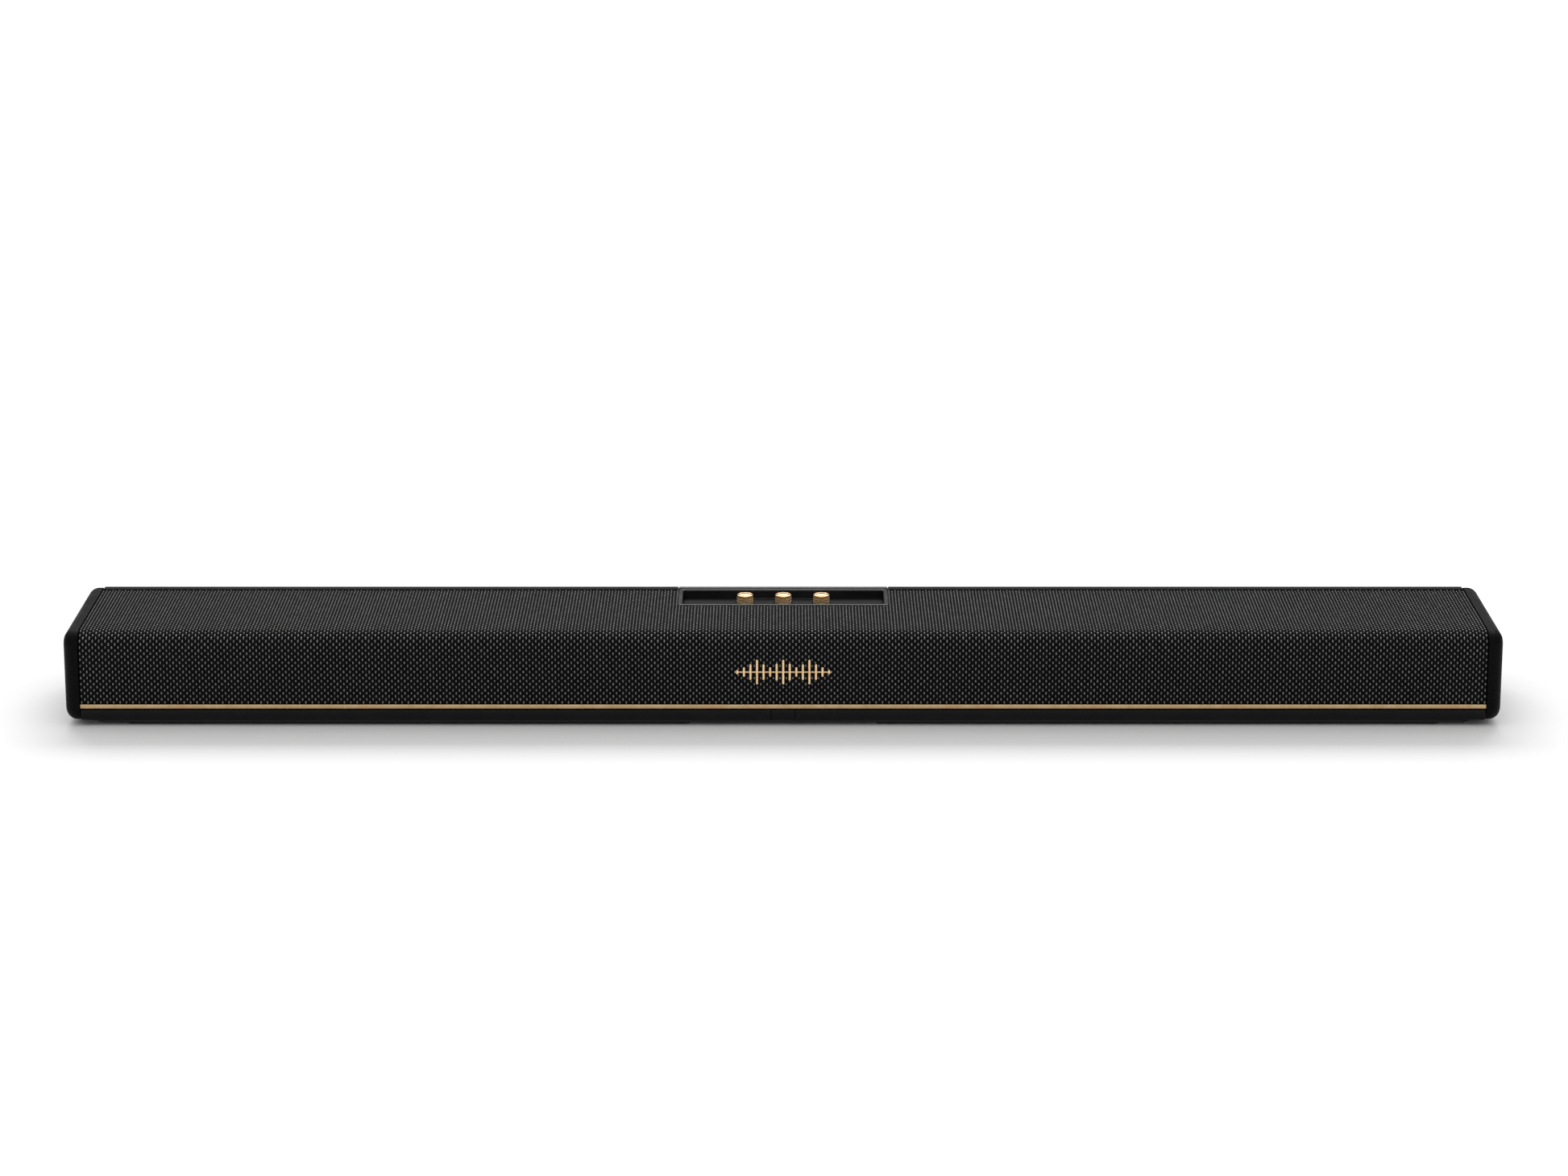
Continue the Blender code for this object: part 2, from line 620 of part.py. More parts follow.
def socket_bay():
    """Recessed tub in the back wall that the sockets look out of."""
    reach = BAY_HALF - GAP
    low, high = BAY_LOW + GAP, BAY_HIGH - GAP
    tub = block((-reach, BAY_FLOOR, BACK_WALL_LOW), (reach, BACK - GAP, high))
    bay = finished("socket_bay", tub, "moulding")
    cut(bay, block((-reach + BAY_WALL, BAY_FLOOR + BAY_WALL, low + BAY_WALL),
                   (reach - BAY_WALL, BACK + 5, high - BAY_WALL)))
    cut(bay, *[
        block((x - width / 2 - GAP, BAY_FLOOR - 5, SOCKET_Z - height / 2 - GAP),
              (x + width / 2 + GAP, BAY_FLOOR + 5, SOCKET_Z + height / 2 + GAP))
        for x, width, height, _, _, _ in SOCKETS.values()
    ])


SOCKETS = {
    # name: (x, body width, body height, mouth width, mouth height, mouth depth)
    "mains_inlet": (-84.0, 24.0, 17.0, 17.0, 9.0, 11.0),
    "network_socket": (-46.0, 17.0, 15.0, 12.0, 8.0, 11.0),
    "video_socket_in": (-14.0, 19.0, 9.5, 14.6, 5.2, 10.0),
    "video_socket_out": (16.0, 19.0, 9.5, 14.6, 5.2, 10.0),
    "line_sockets": (82.0, 48.0, 15.0, 0.0, 0.0, 0.0),
}


def sockets():
    for name, (x, width, height, mouth, tall, deep) in SOCKETS.items():
        body = block((-width / 2, SOCKET_FRONT, -height / 2), (width / 2, SOCKET_BACK, height / 2))
        made = finished(name, body, "moulding", (x, 0.0, SOCKET_Z))
        if mouth:
            outline = rounded_rectangle((-mouth / 2, -tall / 2), (mouth / 2, tall / 2), tall * 0.22, 2)
            cut(made, prism(outline, SOCKET_BACK - deep, SOCKET_BACK + 3, "Y"))
            continue
        for side in (-1, 0, 1):
            barrel = prism(circle(4.2, 16, (side * 15.0, 0.0)), SOCKET_BACK - 2, SOCKET_BACK + 9, "Y")
            join(made, barrel)
        cut(made, *[
            prism(circle(1.7, 10, (side * 15.0, 0.0)), SOCKET_BACK - 4, SOCKET_BACK + 12, "Y")
            for side in (-1, 0, 1)
        ])


def circuit_board(name, low, high, parts):
    """Bare board with its taller parts: each is a block given by two corners above the board."""
    z = 12.0
    board = finished(name, block((*low, z), (*high, z + BOARD_THICK)), "board")
    for (x0, y0), (x1, y1), tall in parts:
        join(board, block((x0, y0, z + 1.0), (x1, y1, z + BOARD_THICK + tall)))


def boards():
    circuit_board("main_board", (-108, -22), (108, 46), [
        ((-20, -6), (16, 24), 6.0), ((30, -12), (52, 8), 3.0), ((-62, -8), (-40, 14), 3.0),
        ((62, 4), (92, 30), 9.0), ((-96, 0), (-76, 28), 9.0),
    ])
    circuit_board("power_board", (140, -20), (262, 56), [
        ((150, 0), (184, 30), 28.0), ((194, -10), (212, 8), 24.0), ((194, 14), (212, 32), 24.0),
        ((222, -8), (226, 48), 30.0), ((236, 10), (254, 40), 14.0),
    ])


def main():
    clear_scene()
    for side in (-1, 1):
        end_cap(side)
        bass_port(side)
        for line, y in FOOT_LINES.items():
            foot(line, y, side)
    front_baffle()
    cabinet_tray()
    rear_cabinet()
    grille_frame()
    grille_cloth()
    brass_trim()
    fascia()
    base_plate()
    emblem()
    control_bezel()
    control_plate()
    control_board()
    for place, x in knob_places().items():
        knob(place, x)
    for name, sizes in DRIVERS.items():
        driver(name, *sizes)
    socket_bay()
    sockets()
    boards()


main()
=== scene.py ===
# %% [markdown]
# # A soundbar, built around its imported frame
#
# The frame holds every working part at its real size: cabinet, baffle, drivers, knobs and sockets. This
# lesson dresses it. Each cell makes one piece or one finish, takes its place from the frame, and rides on
# the body that carries it. The front faces -Y, +X runs to the right and +Z is up. Shapes are drawn in
# millimetres, and `made` turns them into metres.

import math

import bmesh
import bpy
from mathutils import Matrix, Vector


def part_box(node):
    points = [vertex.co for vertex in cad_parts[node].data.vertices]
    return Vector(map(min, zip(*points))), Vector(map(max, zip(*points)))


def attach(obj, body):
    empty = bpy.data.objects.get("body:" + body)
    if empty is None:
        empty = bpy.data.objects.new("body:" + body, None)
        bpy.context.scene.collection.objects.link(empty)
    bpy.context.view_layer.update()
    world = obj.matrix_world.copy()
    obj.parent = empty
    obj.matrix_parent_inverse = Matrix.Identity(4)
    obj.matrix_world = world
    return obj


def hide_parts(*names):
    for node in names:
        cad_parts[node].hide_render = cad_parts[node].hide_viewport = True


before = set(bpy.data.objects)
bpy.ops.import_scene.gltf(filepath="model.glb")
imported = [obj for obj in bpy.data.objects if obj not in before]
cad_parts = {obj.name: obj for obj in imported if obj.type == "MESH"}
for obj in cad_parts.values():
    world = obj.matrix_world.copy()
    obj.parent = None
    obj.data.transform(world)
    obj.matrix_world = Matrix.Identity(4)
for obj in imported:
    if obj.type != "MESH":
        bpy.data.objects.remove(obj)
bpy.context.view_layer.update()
MM = 0.001


def corners(node):
    """Lowest and highest corner of a node of the frame, in millimetres."""
    low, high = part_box(node)
    return low / MM, high / MM


# %% [markdown]
# ## Outlines and skins
#
# Most housings here are an outline that was pushed along one axis and had its edges rounded. So the first
# helpers draw outlines from arcs and straight runs, move an outline inwards, and skin a row of rings. A
# rounded edge is then only a few rings whose inset follows a quarter circle. That gives cleaner meshes than
# a Bevel on a Boolean.

# %% Outline helpers


def arc(centre, radius, start, end, steps):
    """Points along an arc in degrees, both ends included."""
    turns = [math.radians(start + (end - start) * i / steps) for i in range(steps + 1)]
    return [(centre[0] + radius * math.cos(t), centre[1] + radius * math.sin(t)) for t in turns]


def circle(radius, sides, centre=(0.0, 0.0)):
    return arc(centre, radius, 0, 360, sides)[:-1]


def rounded_rectangle(low, high, radius, steps=6):
    """Counter-clockwise, with round corners."""
    x0, y0, x1, y1 = low[0] + radius, low[1] + radius, high[0] - radius, high[1] - radius
    turns = [((x1, y0), -90), ((x1, y1), 0), ((x0, y1), 90), ((x0, y0), 180)]
    return [p for centre, start in turns for p in arc(centre, radius, start, start + 90, steps)]


def racetrack(length, height, steps=12):
    """Two half circles joined by straight runs."""
    radius, reach = height / 2, (length - height) / 2
    return arc((reach, 0), radius, -90, 90, steps) + arc((-reach, 0), radius, 90, 270, steps)


def shrunk(outline, inset):
    """A closed counter-clockwise outline moved inwards, with its corners kept."""
    moved = []
    for i, p in enumerate(outline):
        before, after = Vector(outline[i - 1]), Vector(outline[(i + 1) % len(outline)])
        first, second = (Vector(p) - before).normalized(), (after - Vector(p)).normalized()
        step = inset / max(0.3, 1 + first.dot(second))
        moved.append((p[0] - (first.y + second.y) * step, p[1] + (first.x + second.x) * step))
    return moved


PLACED = {
    "X": lambda u, v, w: (w, u, v),
    "Y": lambda u, v, w: (u, w, v),
    "Z": lambda u, v, w: (u, v, w),
}


# %% Skins and rounded prisms


def skin(rings, joined=False):
    """Faces between rings of equal length. The two end rings are filled, unless the last joins the first."""
    shape = bmesh.new()
    rows = [[shape.verts.new(p) for p in ring] for ring in rings]
    for a, b in zip(rows, rows[1:] + (rows[:1] if joined else [])):
        for i in range(len(a)):
            j = (i + 1) % len(a)
            shape.faces.new((a[i], a[j], b[j], b[i]))
    if not joined:
        shape.faces.new(rows[0][::-1])
        shape.faces.new(rows[-1])
    return shape


def quarter(steps):
    return [math.pi / 2 * i / steps for i in range(steps + 1)]


def rounded_prism(outline, low, high, axis, edge, steps=3):
    """An outline pushed along an axis, with both ends rounded over."""
    start = [(low + edge * (1 - math.cos(t)), edge * (1 - math.sin(t))) for t in quarter(steps)]
    finish = [(high - edge * (1 - math.cos(t)), edge * (1 - math.sin(t))) for t in quarter(steps)]
    place = PLACED[axis]
    return skin([[place(u, v, w) for u, v in shrunk(outline, inset)] for w, inset in start + finish[::-1]])


def ring_frame(outer, inner, low, high, edge, steps=4):
    """An upright wall between two outlines of equal length, with its upper edges rounded."""
    rings = [[(*p, low) for p in outer]]
    rings += [[(*p, high - edge * (1 - math.sin(t))) for p in shrunk(outer, edge * (1 - math.cos(t)))]
              for t in quarter(steps)]
    rings += [[(*p, high - edge * (1 - math.sin(t))) for p in shrunk(inner, -edge * (1 - math.cos(t)))]
              for t in quarter(steps)[::-1]]
    rings += [[(*p, low) for p in inner]]
    return skin(rings, joined=True)


def turned(profile, sides, centre):
    """A profile of (radius, height) turned about an upright axis."""
    return skin([[(centre[0] + x, centre[1] + y, z) for x, y in circle(r, sides)] for r, z in profile])


def merged(*shapes):
    whole = bmesh.new()
    for shape in shapes:
        held = bpy.data.meshes.new("held")
        shape.to_mesh(held)
        shape.free()
        whole.from_mesh(held)
        bpy.data.meshes.remove(held)
    return whole


# %% [markdown]
# ## From shape to piece
#
# A finished piece is a smooth-shaded mesh with sharp edges where two faces meet at a steep angle. It lies
# at the origin, rides on one body, and carries its finish as a material of its mesh. Pieces cut by others go
# through exact Booleans, and the result is kept as a plain mesh so that nothing is left to evaluate later.

# %% Piece helpers


def settle(piece, body, stands_for=()):
    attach(piece, body)
    if stands_for:
        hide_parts(*stands_for)
    return piece


def object_of(name, shape, finish=None, crease=35):
    """A bare object from a shape in millimetres."""
    bmesh.ops.recalc_face_normals(shape, faces=shape.faces)
    shape.transform(Matrix.Scale(MM, 4))
    mesh = bpy.data.meshes.new(name)
    shape.to_mesh(mesh)
    shape.free()
    mesh.shade_smooth()
    mesh.set_sharp_from_angle(angle=math.radians(crease))
    if finish:
        mesh.materials.append(finish)
    piece = bpy.data.objects.new(name, mesh)
    bpy.context.scene.collection.objects.link(piece)
    return piece


def made(name, shape, finish, body="root", stands_for=(), crease=35):
    """A finished piece from a shape in millimetres."""
    return settle(evened(object_of(name, shape, finish, crease)), body, stands_for)


def applied(piece):
    """The same object with its modifiers worked into a plain mesh."""
    evaluated = piece.evaluated_get(bpy.context.evaluated_depsgraph_get())
    mesh = bpy.data.meshes.new_from_object(evaluated)
    piece.modifiers.clear()
    piece.data = mesh
    return piece


def evened(piece):
    """Normals weighted by face area, so a small rounding doesn't bend the light on the wide face beside it."""
    weighted = piece.modifiers.new("Normals", "WEIGHTED_NORMAL")
    weighted.keep_sharp = True
    bpy.context.view_layer.update()
    return applied(piece)


def carved(piece, *shapes, bevel=0.0, crease=35):
    """The piece with each shape cut out of it, and the new edges broken by a small bevel."""
    for number, shape in enumerate(shapes):
        cutter = object_of(f"{piece.name}_cutter_{number}", shape)
        cut = piece.modifiers.new("Cut", "BOOLEAN")
        cut.operation, cut.solver, cut.object = "DIFFERENCE", "EXACT", cutter
        bpy.context.view_layer.update()
        applied(piece)
        bpy.data.objects.remove(cutter)
    if bevel:
        edge = piece.modifiers.new("Edge", "BEVEL")
        edge.width, edge.segments, edge.limit_method = bevel * MM, 2, "ANGLE"
        edge.angle_limit, edge.use_clamp_overlap = math.radians(50), True
        bpy.context.view_layer.update()
        applied(piece)
    piece.data.shade_smooth()
    piece.data.set_sharp_from_angle(angle=math.radians(crease))
    return evened(piece)


# %% [markdown]
# ## Shader groups
#
# Several finishes share an effect: the pebble grain of the leathercloth, the fine texture that a mould
# leaves on plastic, the straight lines of a brushed metal, and the slow drift in gloss that every real
# surface has. Each effect is one node group that reads a position and puts out a height or a mask, so a
# material only chooses sizes.

# %% Node helpers


def fed(tree, socket, value):
    if isinstance(value, bpy.types.NodeSocket):
        tree.links.new(value, socket)
    else:
        socket.default_value = value


def node(tree, kind, settings=None, **sockets):
    """A node with its settings, and its sockets given by name, with _ for a space."""
    added = tree.nodes.new(kind)
    for name, value in (settings or {}).items():
        setattr(added, name, value)
    for name, value in sockets.items():
        fed(tree, added.inputs[name.replace("_", " ")], value)
    return added


def maths(tree, operation, *values):
    added = node(tree, "ShaderNodeMath", {"operation": operation})
    for socket, value in zip(added.inputs, values):
        fed(tree, socket, value)
    return added.outputs[0]


def vector_maths(tree, operation, a, b):
    added = node(tree, "ShaderNodeVectorMath", {"operation": operation})
    fed(tree, added.inputs[0], a)
    fed(tree, added.inputs[1], b)
    return added.outputs[0]


def ranged(tree, value, low, high, to_low=0.0, to_high=1.0):
    added = node(tree, "ShaderNodeMapRange", {"interpolation_type": "SMOOTHSTEP"}, Value=value, From_Min=low,
                 From_Max=high, To_Min=to_low, To_Max=to_high)
    return added.outputs[0]


def mixed(tree, factor, a, b):
    added = node(tree, "ShaderNodeMix", {"data_type": "RGBA"}, Factor=factor)
    fed(tree, added.inputs[6], a)
    fed(tree, added.inputs[7], b)
    return added.outputs[2]


def effect(name, sizes, results):
    """An empty shader group with a Vector input, number inputs and number results."""
    tree = bpy.data.node_groups.new(name, "ShaderNodeTree")
    tree.interface.new_socket("Vector", in_out="INPUT", socket_type="NodeSocketVector")
    for label, value in sizes.items():
        tree.interface.new_socket(label, in_out="INPUT", socket_type="NodeSocketFloat").default_value = value
    for label in results:
        tree.interface.new_socket(label, in_out="OUTPUT", socket_type="NodeSocketFloat")
    return tree, tree.nodes.new("NodeGroupInput").outputs, tree.nodes.new("NodeGroupOutput").inputs


# %% Pebble grain, for leathercloth


def pebble_grain():
    tree, given, results = effect("Pebble grain", {"Pebble": 0.0012}, ["Height", "Valley"])
    fineness = maths(tree, "DIVIDE", 1.0, given["Pebble"])
    drift = node(tree, "ShaderNodeTexNoise", Vector=given["Vector"],
                 Scale=maths(tree, "MULTIPLY", fineness, 0.45),
                 Detail=2.0)
    centred = vector_maths(tree, "SUBTRACT", drift.outputs["Color"], (0.5, 0.5, 0.5))
    pushed = node(tree, "ShaderNodeVectorMath", {"operation": "SCALE"}, Scale=given["Pebble"])
    fed(tree, pushed.inputs[0], centred)
    place = vector_maths(tree, "ADD", given["Vector"], pushed.outputs[0])
    cells = node(tree, "ShaderNodeTexVoronoi", {"feature": "DISTANCE_TO_EDGE"}, Vector=place, Scale=fineness)
    hills = ranged(tree, cells.outputs["Distance"], 0.0, 0.22)
    pores = node(tree, "ShaderNodeTexNoise", Vector=given["Vector"],
                 Scale=maths(tree, "MULTIPLY", fineness, 3.0),
                 Detail=3.0)
    fed(tree, results["Height"],
        maths(tree, "ADD", hills, maths(tree, "MULTIPLY", pores.outputs["Fac"], 0.35)))
    fed(tree, results["Valley"], maths(tree, "SUBTRACT", 1.0, hills))
    return tree


# %% Mould texture, brushing and slow drift


def mould_texture():
    tree, given, results = effect("Mould texture", {"Grain": 0.0003}, ["Height"])
    fineness = maths(tree, "DIVIDE", 1.0, given["Grain"])
    fine = node(tree, "ShaderNodeTexNoise", Vector=given["Vector"], Scale=fineness, Detail=2.0, Roughness=0.6)
    fed(tree, results["Height"], ranged(tree, fine.outputs["Fac"], 0.3, 0.7))
    return tree


def brushing():
    """Long scratches along X."""
    tree, given, results = effect("Brushing", {"Spacing": 0.0002, "Length": 0.03}, ["Height", "Streak"])
    across = maths(tree, "DIVIDE", 1.0, given["Spacing"])
    along = maths(tree, "DIVIDE", 1.0, given["Length"])
    size = node(tree, "ShaderNodeCombineXYZ", X=along, Y=across, Z=across)
    place = vector_maths(tree, "MULTIPLY", given["Vector"], size.outputs[0])
    lines = node(tree, "ShaderNodeTexNoise", Vector=place, Scale=1.0, Detail=3.0, Roughness=0.65)
    fed(tree, results["Height"], lines.outputs["Fac"])
    fed(tree, results["Streak"], ranged(tree, lines.outputs["Fac"], 0.35, 0.65))
    return tree


def slow_drift():
    """A value that wanders between two limits over a few centimetres."""
    tree, given, results = effect("Slow drift", {"Patch": 0.03, "Low": 0.3, "High": 0.4}, ["Value"])
    wide = node(tree, "ShaderNodeTexNoise", Vector=given["Vector"],
                Scale=maths(tree, "DIVIDE", 1.0, given["Patch"]),
                Detail=5.0, Roughness=0.6)
    near = ranged(tree, wide.outputs["Fac"], 0.3, 0.7)
    span = maths(tree, "SUBTRACT", given["High"], given["Low"])
    fed(tree, results["Value"], maths(tree, "MULTIPLY_ADD", near, span, given["Low"]))
    return tree


EFFECTS = {made_group.name: made_group
           for made_group in (pebble_grain(), mould_texture(), brushing(), slow_drift())}
print("effects:", ", ".join(EFFECTS))

# %% [markdown]
# ## Finishes
#
# A finish is a Principled shader with its fixed values on its own sockets, plus the groups that vary its
# colour, its gloss and its relief. All patterns read Object coordinates, because every piece lies at the
# origin, so a grain is the same size on each piece and runs on from one to the next.

# %% Finish helpers


def finish(name, colour, roughness, metallic=0.0, specular=0.5, **fixed):
    """A plain Principled material. More fixed values are given by socket name, with _ for a space."""
    material = bpy.data.materials.new(name)
    material.use_nodes = True
    material.diffuse_color = (*colour, 1.0)
    sockets = material.node_tree.nodes["Principled BSDF"].inputs
    sockets["Base Color"].default_value = (*colour, 1.0)
    sockets["Roughness"].default_value = roughness
    sockets["Metallic"].default_value = metallic
    sockets["Specular IOR Level"].default_value = specular
    for label, value in fixed.items():
        sockets[label.replace("_", " ")].default_value = value
    return material


def patterned(material, group, **sizes):
    """One of the groups in a material, reading Object coordinates. Returns its outputs."""
    tree = material.node_tree
    place = tree.nodes.get("Place") or tree.nodes.new("ShaderNodeTexCoord")
    place.name = "Place"
    added = tree.nodes.new("ShaderNodeGroup")
    added.node_tree = EFFECTS[group]
    fed(tree, added.inputs["Vector"], place.outputs["Object"])
    for label, value in sizes.items():
        added.inputs[label].default_value = value
    return added.outputs


def shader_of(material):
    return material.node_tree.nodes["Principled BSDF"]


def tinted(material, mask, colour, other):
    """Base colour that runs between two colours with a mask."""
    fed(material.node_tree, shader_of(material).inputs["Base Color"],
        mixed(material.node_tree, mask, (*colour, 1.0), (*other, 1.0)))


def raised(material, height, depth):
    """Relief, with its depth in millimetres."""
    bump = node(material.node_tree, "ShaderNodeBump", Height=height, Distance=depth * MM, Strength=1.0)
    fed(material.node_tree, shader_of(material).inputs["Normal"], bump.outputs[0])


def glossed(material, patch, low, high):
    """Roughness that drifts between two limits."""
    value = patterned(material, "Slow drift", Patch=patch, Low=low, High=high)["Value"]
    fed(material.node_tree, shader_of(material).inputs["Roughness"], value)


# %% Leathercloth and plastics


def leathercloth():
    material = finish("leathercloth", (0.004, 0.004, 0.0042), 0.5, specular=0.045)
    grain = patterned(material, "Pebble grain", Pebble=0.0011)
    tinted(material, grain["Valley"], (0.005, 0.005, 0.0052), (0.001, 0.001, 0.001))
    glossed(material, 0.05, 0.38, 0.5)
    raised(material, grain["Height"], 0.12)
    return material


def moulded(name, colour, low, high, specular, depth=0.02):
    material = finish(name, colour, (low + high) / 2, specular=specular)
    other = tuple(c * 1.5 for c in colour)
    tinted(material, patterned(material, "Slow drift", Patch=0.02, Low=0.0, High=1.0)["Value"], colour, other)
    glossed(material, 0.04, low, high)
    raised(material, patterned(material, "Mould texture", Grain=0.0003)["Height"], depth)
    return material


LEATHER = leathercloth()
MOULDING = moulded("moulding", (0.006, 0.006, 0.0065), 0.45, 0.6, 0.3)
FASCIA = moulded("fascia_plastic", (0.004, 0.004, 0.0044), 0.3, 0.4, 0.14, 0.006)
BEZEL = moulded("bezel_plastic", (0.005, 0.005, 0.0052), 0.24, 0.32, 0.4, 0.006)
RUBBER = moulded("rubber", (0.012, 0.012, 0.012), 0.75, 0.9, 0.3, 0.05)
SOCKET = moulded("socket_plastic", (0.01, 0.01, 0.011), 0.4, 0.55, 0.4)
WINDOW = finish("receiver_window_gloss", (0.004, 0.003, 0.004), 0.14, specular=0.16)
tinted(WINDOW, patterned(WINDOW, "Slow drift", Patch=0.01, Low=0.0, High=1.0)["Value"],
       (0.003, 0.003, 0.0035),
       (0.005, 0.004, 0.005))

# %% Metals


def brassy(name, colour, low, high, brushed=0.0):
    """Lacquered brass: a slow drift in tone and gloss, and brush lines along X where it has them."""
    material = finish(name, colour, low, 1.0)
    deeper = (colour[0] * 0.88, colour[1] * 0.8, colour[2] * 0.7)
    tinted(material, patterned(material, "Slow drift", Patch=0.012, Low=0.0, High=1.0)["Value"],
           colour, deeper)
    glossed(material, 0.006, low, high)
    if brushed:
        lines = patterned(material, "Brushing", Spacing=0.00025, Length=0.02)
        raised(material, lines["Height"], brushed)
    return material


def brushed_plate():
    material = finish("brushed_black_plate", (0.007, 0.007, 0.0075), 0.45, 0.0, 0.04, Anisotropic=0.4)
    lines = patterned(material, "Brushing", Spacing=0.00022, Length=0.04)
    tinted(material, lines["Streak"], (0.006, 0.006, 0.0062), (0.013, 0.013, 0.0135))
    glossed(material, 0.01, 0.4, 0.5)
    raised(material, lines["Height"], 0.006)
    return material


def steely(name, colour, low, high):
    material = finish(name, colour, low, 1.0)
    tone = patterned(material, "Slow drift", Patch=0.008, Low=0.0, High=1.0)["Value"]
    tinted(material, tone, colour, tuple(c * 0.8 for c in colour))
    glossed(material, 0.005, low, high)
    return material


KNOB_BRASS = brassy("knob_brass", (0.88, 0.63, 0.35), 0.2, 0.3)
TRIM_BRASS = brassy("trim_brass", (0.54, 0.39, 0.22), 0.24, 0.34, 0.004)
EMBLEM_GOLD = brassy("emblem_gold", (0.80, 0.59, 0.35), 0.18, 0.28)
PLATE = brushed_plate()
STEEL = steely("plain_steel", (0.48, 0.48, 0.5), 0.28, 0.42)
BLACK_STEEL = steely("black_steel", (0.05, 0.05, 0.055), 0.35, 0.5)
CONTACT = steely("contact_gold", (0.85, 0.62, 0.3), 0.2, 0.3)

# %% [markdown]
# ## Leathercloth end caps
#
# Each cap is a moulded shell wrapped in black leathercloth, with a generous rounding on its outer edge and
# a face that swells very slightly, like a tight cushion. It is skinned from rings of one rounded rectangle:
# down the inside, over the thin lip that meets the cloth, round the outer edge, and across the face.

# %% End caps
CAP_CORNER, CAP_EDGE, CAP_WALL = 11.5, 8.5, 2.5


def end_cap(side):
    name = "end_cap_left" if side < 0 else "end_cap_right"
    low, high = corners(name)
    inner, outer = min(abs(low.x), abs(high.x)), max(abs(low.x), abs(high.x))
    swell, lip = 0.3, 0.5
    flat, hollow_edge = outer - swell - CAP_EDGE, CAP_EDGE - CAP_WALL

    def ring(x, inset):
        corner = max(CAP_CORNER - inset, 1.0)
        outline = rounded_rectangle((low.y + inset, low.z + inset), (high.y - inset, high.z - inset),
                                    corner, 10)
        return [(side * x, y, z) for y, z in outline]

    turns = quarter(10)
    hollow = [(flat + hollow_edge * math.sin(t), CAP_WALL + hollow_edge * (1 - math.cos(t))) for t in turns]
    edge = [(flat + CAP_EDGE * math.sin(t), CAP_EDGE * (1 - math.cos(t))) for t in turns]
    lips = [(inner, CAP_WALL), (inner, lip), (inner + lip * 0.3, lip * 0.3), (inner + lip, 0.0)]
    face = [(outer - swell * 0.8, CAP_EDGE + 3), (outer - swell * 0.4, CAP_EDGE + 9), (outer, CAP_EDGE + 21)]
    stations = [*hollow[::-1], *lips, *edge, *face]
    made(name + "_wrap", skin([ring(x, inset) for x, inset in stations]), LEATHER,
         stands_for=[name])


for side in (-1, 1):
    end_cap(side)
print("end caps made")

# %% [markdown]
# ## Cloth
#
# The real cloth is one piece, glued tight over a carrier frame, with its edges tucked in. The sheet below
# is that cut: it runs up the front, round the front edge and back over the top, dips at every border, and
# has a gap with round corners for the control panel. It has hardly any folds, so it is shaped directly and
# not simulated.

# %% Cloth sheet
CLOTH_CORNER, CLOTH_THICK, TUCK, TUCK_DEPTH = 12.0, 0.8, 1.0, 0.6
cloth_low, cloth_high = corners("grille_cloth")
bezel_low, bezel_high = corners("control_bezel")
PANEL_CORNER, PANEL_GAP = 5.0, 0.5


def plain_prism(outline, low, high, axis):
    place = PLACED[axis]
    return skin([[place(u, v, w) for u, v in outline] for w in (low, high)])


def block(low, high, edge=0.08):
    return rounded_prism([(low[0], low[1]), (high[0], low[1]), (high[0], high[1]), (low[0], high[1])], low[2],
                         high[2], "Z", edge, 2)


def cloth_side(steps=16):
    """Side view of the outer face in Y and Z, from the lower front edge to the rear edge."""
    centre = (cloth_low.y + CLOTH_CORNER, cloth_high.z - CLOTH_CORNER)
    return [(cloth_low.y, cloth_low.z), *arc(centre, CLOTH_CORNER, 180, 90, steps),
            (cloth_high.y, cloth_high.z)]


def tucked(distance):
    """How far the cloth dips at this distance from its border."""
    near = 1 - min(distance / TUCK, 1.0)
    return TUCK_DEPTH * (1 - math.sqrt(1 - near * near))


def along(line, length):
    """Point and direction at a length along a line."""
    for a, b in zip(line, line[1:]):
        step = math.dist(a, b)
        if length <= step or b is line[-1]:
            share = min(length / step, 1.0)
            return Vector(a).lerp(Vector(b), share), (Vector(b) - Vector(a)).normalized()
        length -= step


def panel_gap(margin, back):
    """Outline in X and Y of the control panel, grown by a margin and open to the rear."""
    half, corner = bezel_high.x + margin, PANEL_CORNER + margin
    front = bezel_low.y - margin
    turns = arc((-half + corner, front + corner), corner, 180, 270, 8)
    turns += arc((half - corner, front + corner), corner, -90, 0, 8)
    return [*turns, (half, back), (-half, back)]


def slab(outside, inside):
    """A closed slab between two grids of points of the same size."""
    shape = bmesh.new()
    layers = [[[shape.verts.new(p) for p in row] for row in grid] for grid in (outside, inside)]
    last, end = len(outside) - 1, len(outside[0]) - 1
    for layer in layers:
        for low, high in zip(layer, layer[1:]):
            for i in range(end):
                shape.faces.new((low[i], low[i + 1], high[i + 1], high[i]))
    out, inn = layers
    for row in (0, last):
        for i in range(end):
            shape.faces.new((out[row][i], out[row][i + 1], inn[row][i + 1], inn[row][i]))
    for i in (0, end):
        for row in range(last):
            shape.faces.new((out[row][i], out[row + 1][i], inn[row + 1][i], inn[row][i]))
    return shape


